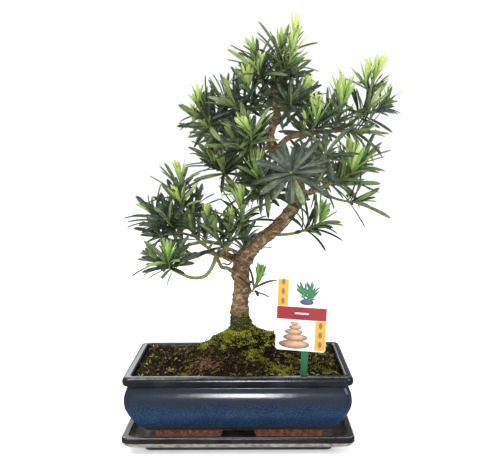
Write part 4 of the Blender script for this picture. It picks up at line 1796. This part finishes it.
class LabelSettings(bpy.types.PropertyGroup):
    """Plant label."""
    card: colour("Card", "White card", 240, 240, 238)
    band: colour("Band", "Printed band", 156, 32, 38)
    band_dark: colour("Dark Band", "Its darker part", 146, 29, 35)
    strip: colour("Strip", "Printed strips", 224, 176, 66)
    strip_dark: colour("Dark Strip", "Their darker part", 206, 150, 48)
    stone: colour("Stone", "Lit part of the printed stones", 208, 168, 138)
    stone_dark: colour("Dark Stone", "Their shaded rim", 62, 36, 28)
    stake: colour("Stake", "Green stake", 4, 112, 64)


class StageSettings(bpy.types.PropertyGroup):
    """Floor and light."""
    floor: colour("Floor", "Pale studio floor", 252, 253, 255)
    surround: colour("Surround", "Light from all sides", 255, 255, 255)
    surround_strength: factor("Surround Strength", "Strength of that light", 0.50)
    mirror_strength: factor("Mirror Strength", "Strength of the surround in reflections", 0.20)
    floor_glow: factor("Floor Glow", "How much the floor shines by itself near the pot", 0.46)
    key_power: power("Key", "Main light, from the front left", 17.0)
    fill_power: power("Fill", "Softer light from the front right", 7.0)
    top_power: power("Top", "Light from above", 7.0)
    back_power: power("Back", "Light from behind", 5.0)
    front_power: power("Front", "Small low light from the front, whose reflection alone shows", 6.5)


SETTINGS = (("bonsai_pot", PotSettings), ("bonsai_saucer", SaucerSettings), ("bonsai_ground", GroundSettings),
            ("bonsai_tree", TreeSettings), ("bonsai_label", LabelSettings), ("bonsai_stage", StageSettings))


# Operators

class PotOperator(bpy.types.Operator):
    """Builds the glazed pot"""
    bl_idname = "bonsai.pot"
    bl_label = "Pot"

    def execute(self, context):
        make_pot(context.scene.bonsai_pot)
        return {"FINISHED"}


class SaucerOperator(bpy.types.Operator):
    """Builds the glazed saucer"""
    bl_idname = "bonsai.saucer"
    bl_label = "Saucer"

    def execute(self, context):
        make_saucer(context.scene.bonsai_saucer)
        return {"FINISHED"}


class ScreensOperator(bpy.types.Operator):
    """Finishes the two drain screens"""
    bl_idname = "bonsai.screens"
    bl_label = "Drain Screens"

    def execute(self, context):
        finish_screens()
        return {"FINISHED"}


class SoilOperator(bpy.types.Operator):
    """Builds the soil and what lies on it"""
    bl_idname = "bonsai.soil"
    bl_label = "Soil"

    def execute(self, context):
        make_soil(context.scene.bonsai_ground)
        make_litter(context.scene.bonsai_ground)
        return {"FINISHED"}


class MossOperator(bpy.types.Operator):
    """Builds the moss cushion and its tufts"""
    bl_idname = "bonsai.moss"
    bl_label = "Moss"

    def execute(self, context):
        make_moss(context.scene.bonsai_ground)
        return {"FINISHED"}


class WoodOperator(bpy.types.Operator):
    """Builds the trunk and the boughs' wood"""
    bl_idname = "bonsai.wood"
    bl_label = "Trunk and Boughs"

    def execute(self, context):
        make_wood(context.scene.bonsai_tree, lay_out_stems())
        return {"FINISHED"}


class LeafyStemsOperator(bpy.types.Operator):
    """Builds the green stems with their mature leaves"""
    bl_idname = "bonsai.leafy_stems"
    bl_label = "Leafy Stems"

    def execute(self, context):
        make_leafy_stems(context.scene.bonsai_tree, lay_out_stems())
        return {"FINISHED"}


class NewGrowthOperator(bpy.types.Operator):
    """Builds the pale new shoots"""
    bl_idname = "bonsai.new_growth"
    bl_label = "New Growth"

    def execute(self, context):
        make_new_growth(context.scene.bonsai_tree, lay_out_stems())
        return {"FINISHED"}


class LabelOperator(bpy.types.Operator):
    """Finishes the plant label and prints its card"""
    bl_idname = "bonsai.label"
    bl_label = "Plant Label"

    def execute(self, context):
        make_label(context.scene.bonsai_label)
        return {"FINISHED"}


class StageOperator(bpy.types.Operator):
    """Builds the floor, the lights and the camera"""
    bl_idname = "bonsai.stage"
    bl_label = "Stage"

    def execute(self, context):
        make_stage(context.scene.bonsai_stage)
        return {"FINISHED"}


OPERATORS = (StageOperator, SaucerOperator, PotOperator, ScreensOperator, SoilOperator, MossOperator,
             WoodOperator, LeafyStemsOperator, NewGrowthOperator, LabelOperator)


class BonsaiPanel(bpy.types.Panel):
    """Lists the pieces and their settings"""
    bl_idname = "VIEW3D_PT_bonsai"
    bl_label = "Bonsai"
    bl_space_type = "VIEW_3D"
    bl_region_type = "UI"
    bl_category = "Bonsai"

    def draw(self, context):
        for operator in OPERATORS:
            self.layout.operator(operator.bl_idname)
        for name, group in SETTINGS:
            box = self.layout.box()
            box.label(text=group.__doc__)
            for setting in group.__annotations__:
                box.prop(getattr(context.scene, name), setting)


def register():
    for name, group in SETTINGS:
        bpy.utils.register_class(group)
        setattr(bpy.types.Scene, name, bpy.props.PointerProperty(type=group))
    for item in OPERATORS + (BonsaiPanel,):
        bpy.utils.register_class(item)


def unregister():
    for item in (BonsaiPanel,) + OPERATORS[::-1]:
        bpy.utils.unregister_class(item)
    for name, group in SETTINGS[::-1]:
        delattr(bpy.types.Scene, name)
        bpy.utils.unregister_class(group)


def main():
    """Makes every piece in order, and writes the packed box and the finished one."""
    register()
    bpy.ops.bonsai.stage()
    bpy.ops.bonsai.saucer()
    bpy.ops.bonsai.pot()
    bpy.ops.bonsai.screens()
    bpy.ops.bonsai.soil()
    bpy.ops.bonsai.moss()
    bpy.ops.bonsai.wood()
    bpy.ops.bonsai.leafy_stems()
    bpy.ops.bonsai.new_growth()
    bpy.ops.bonsai.label()


if __name__ == "__main__":
    main()
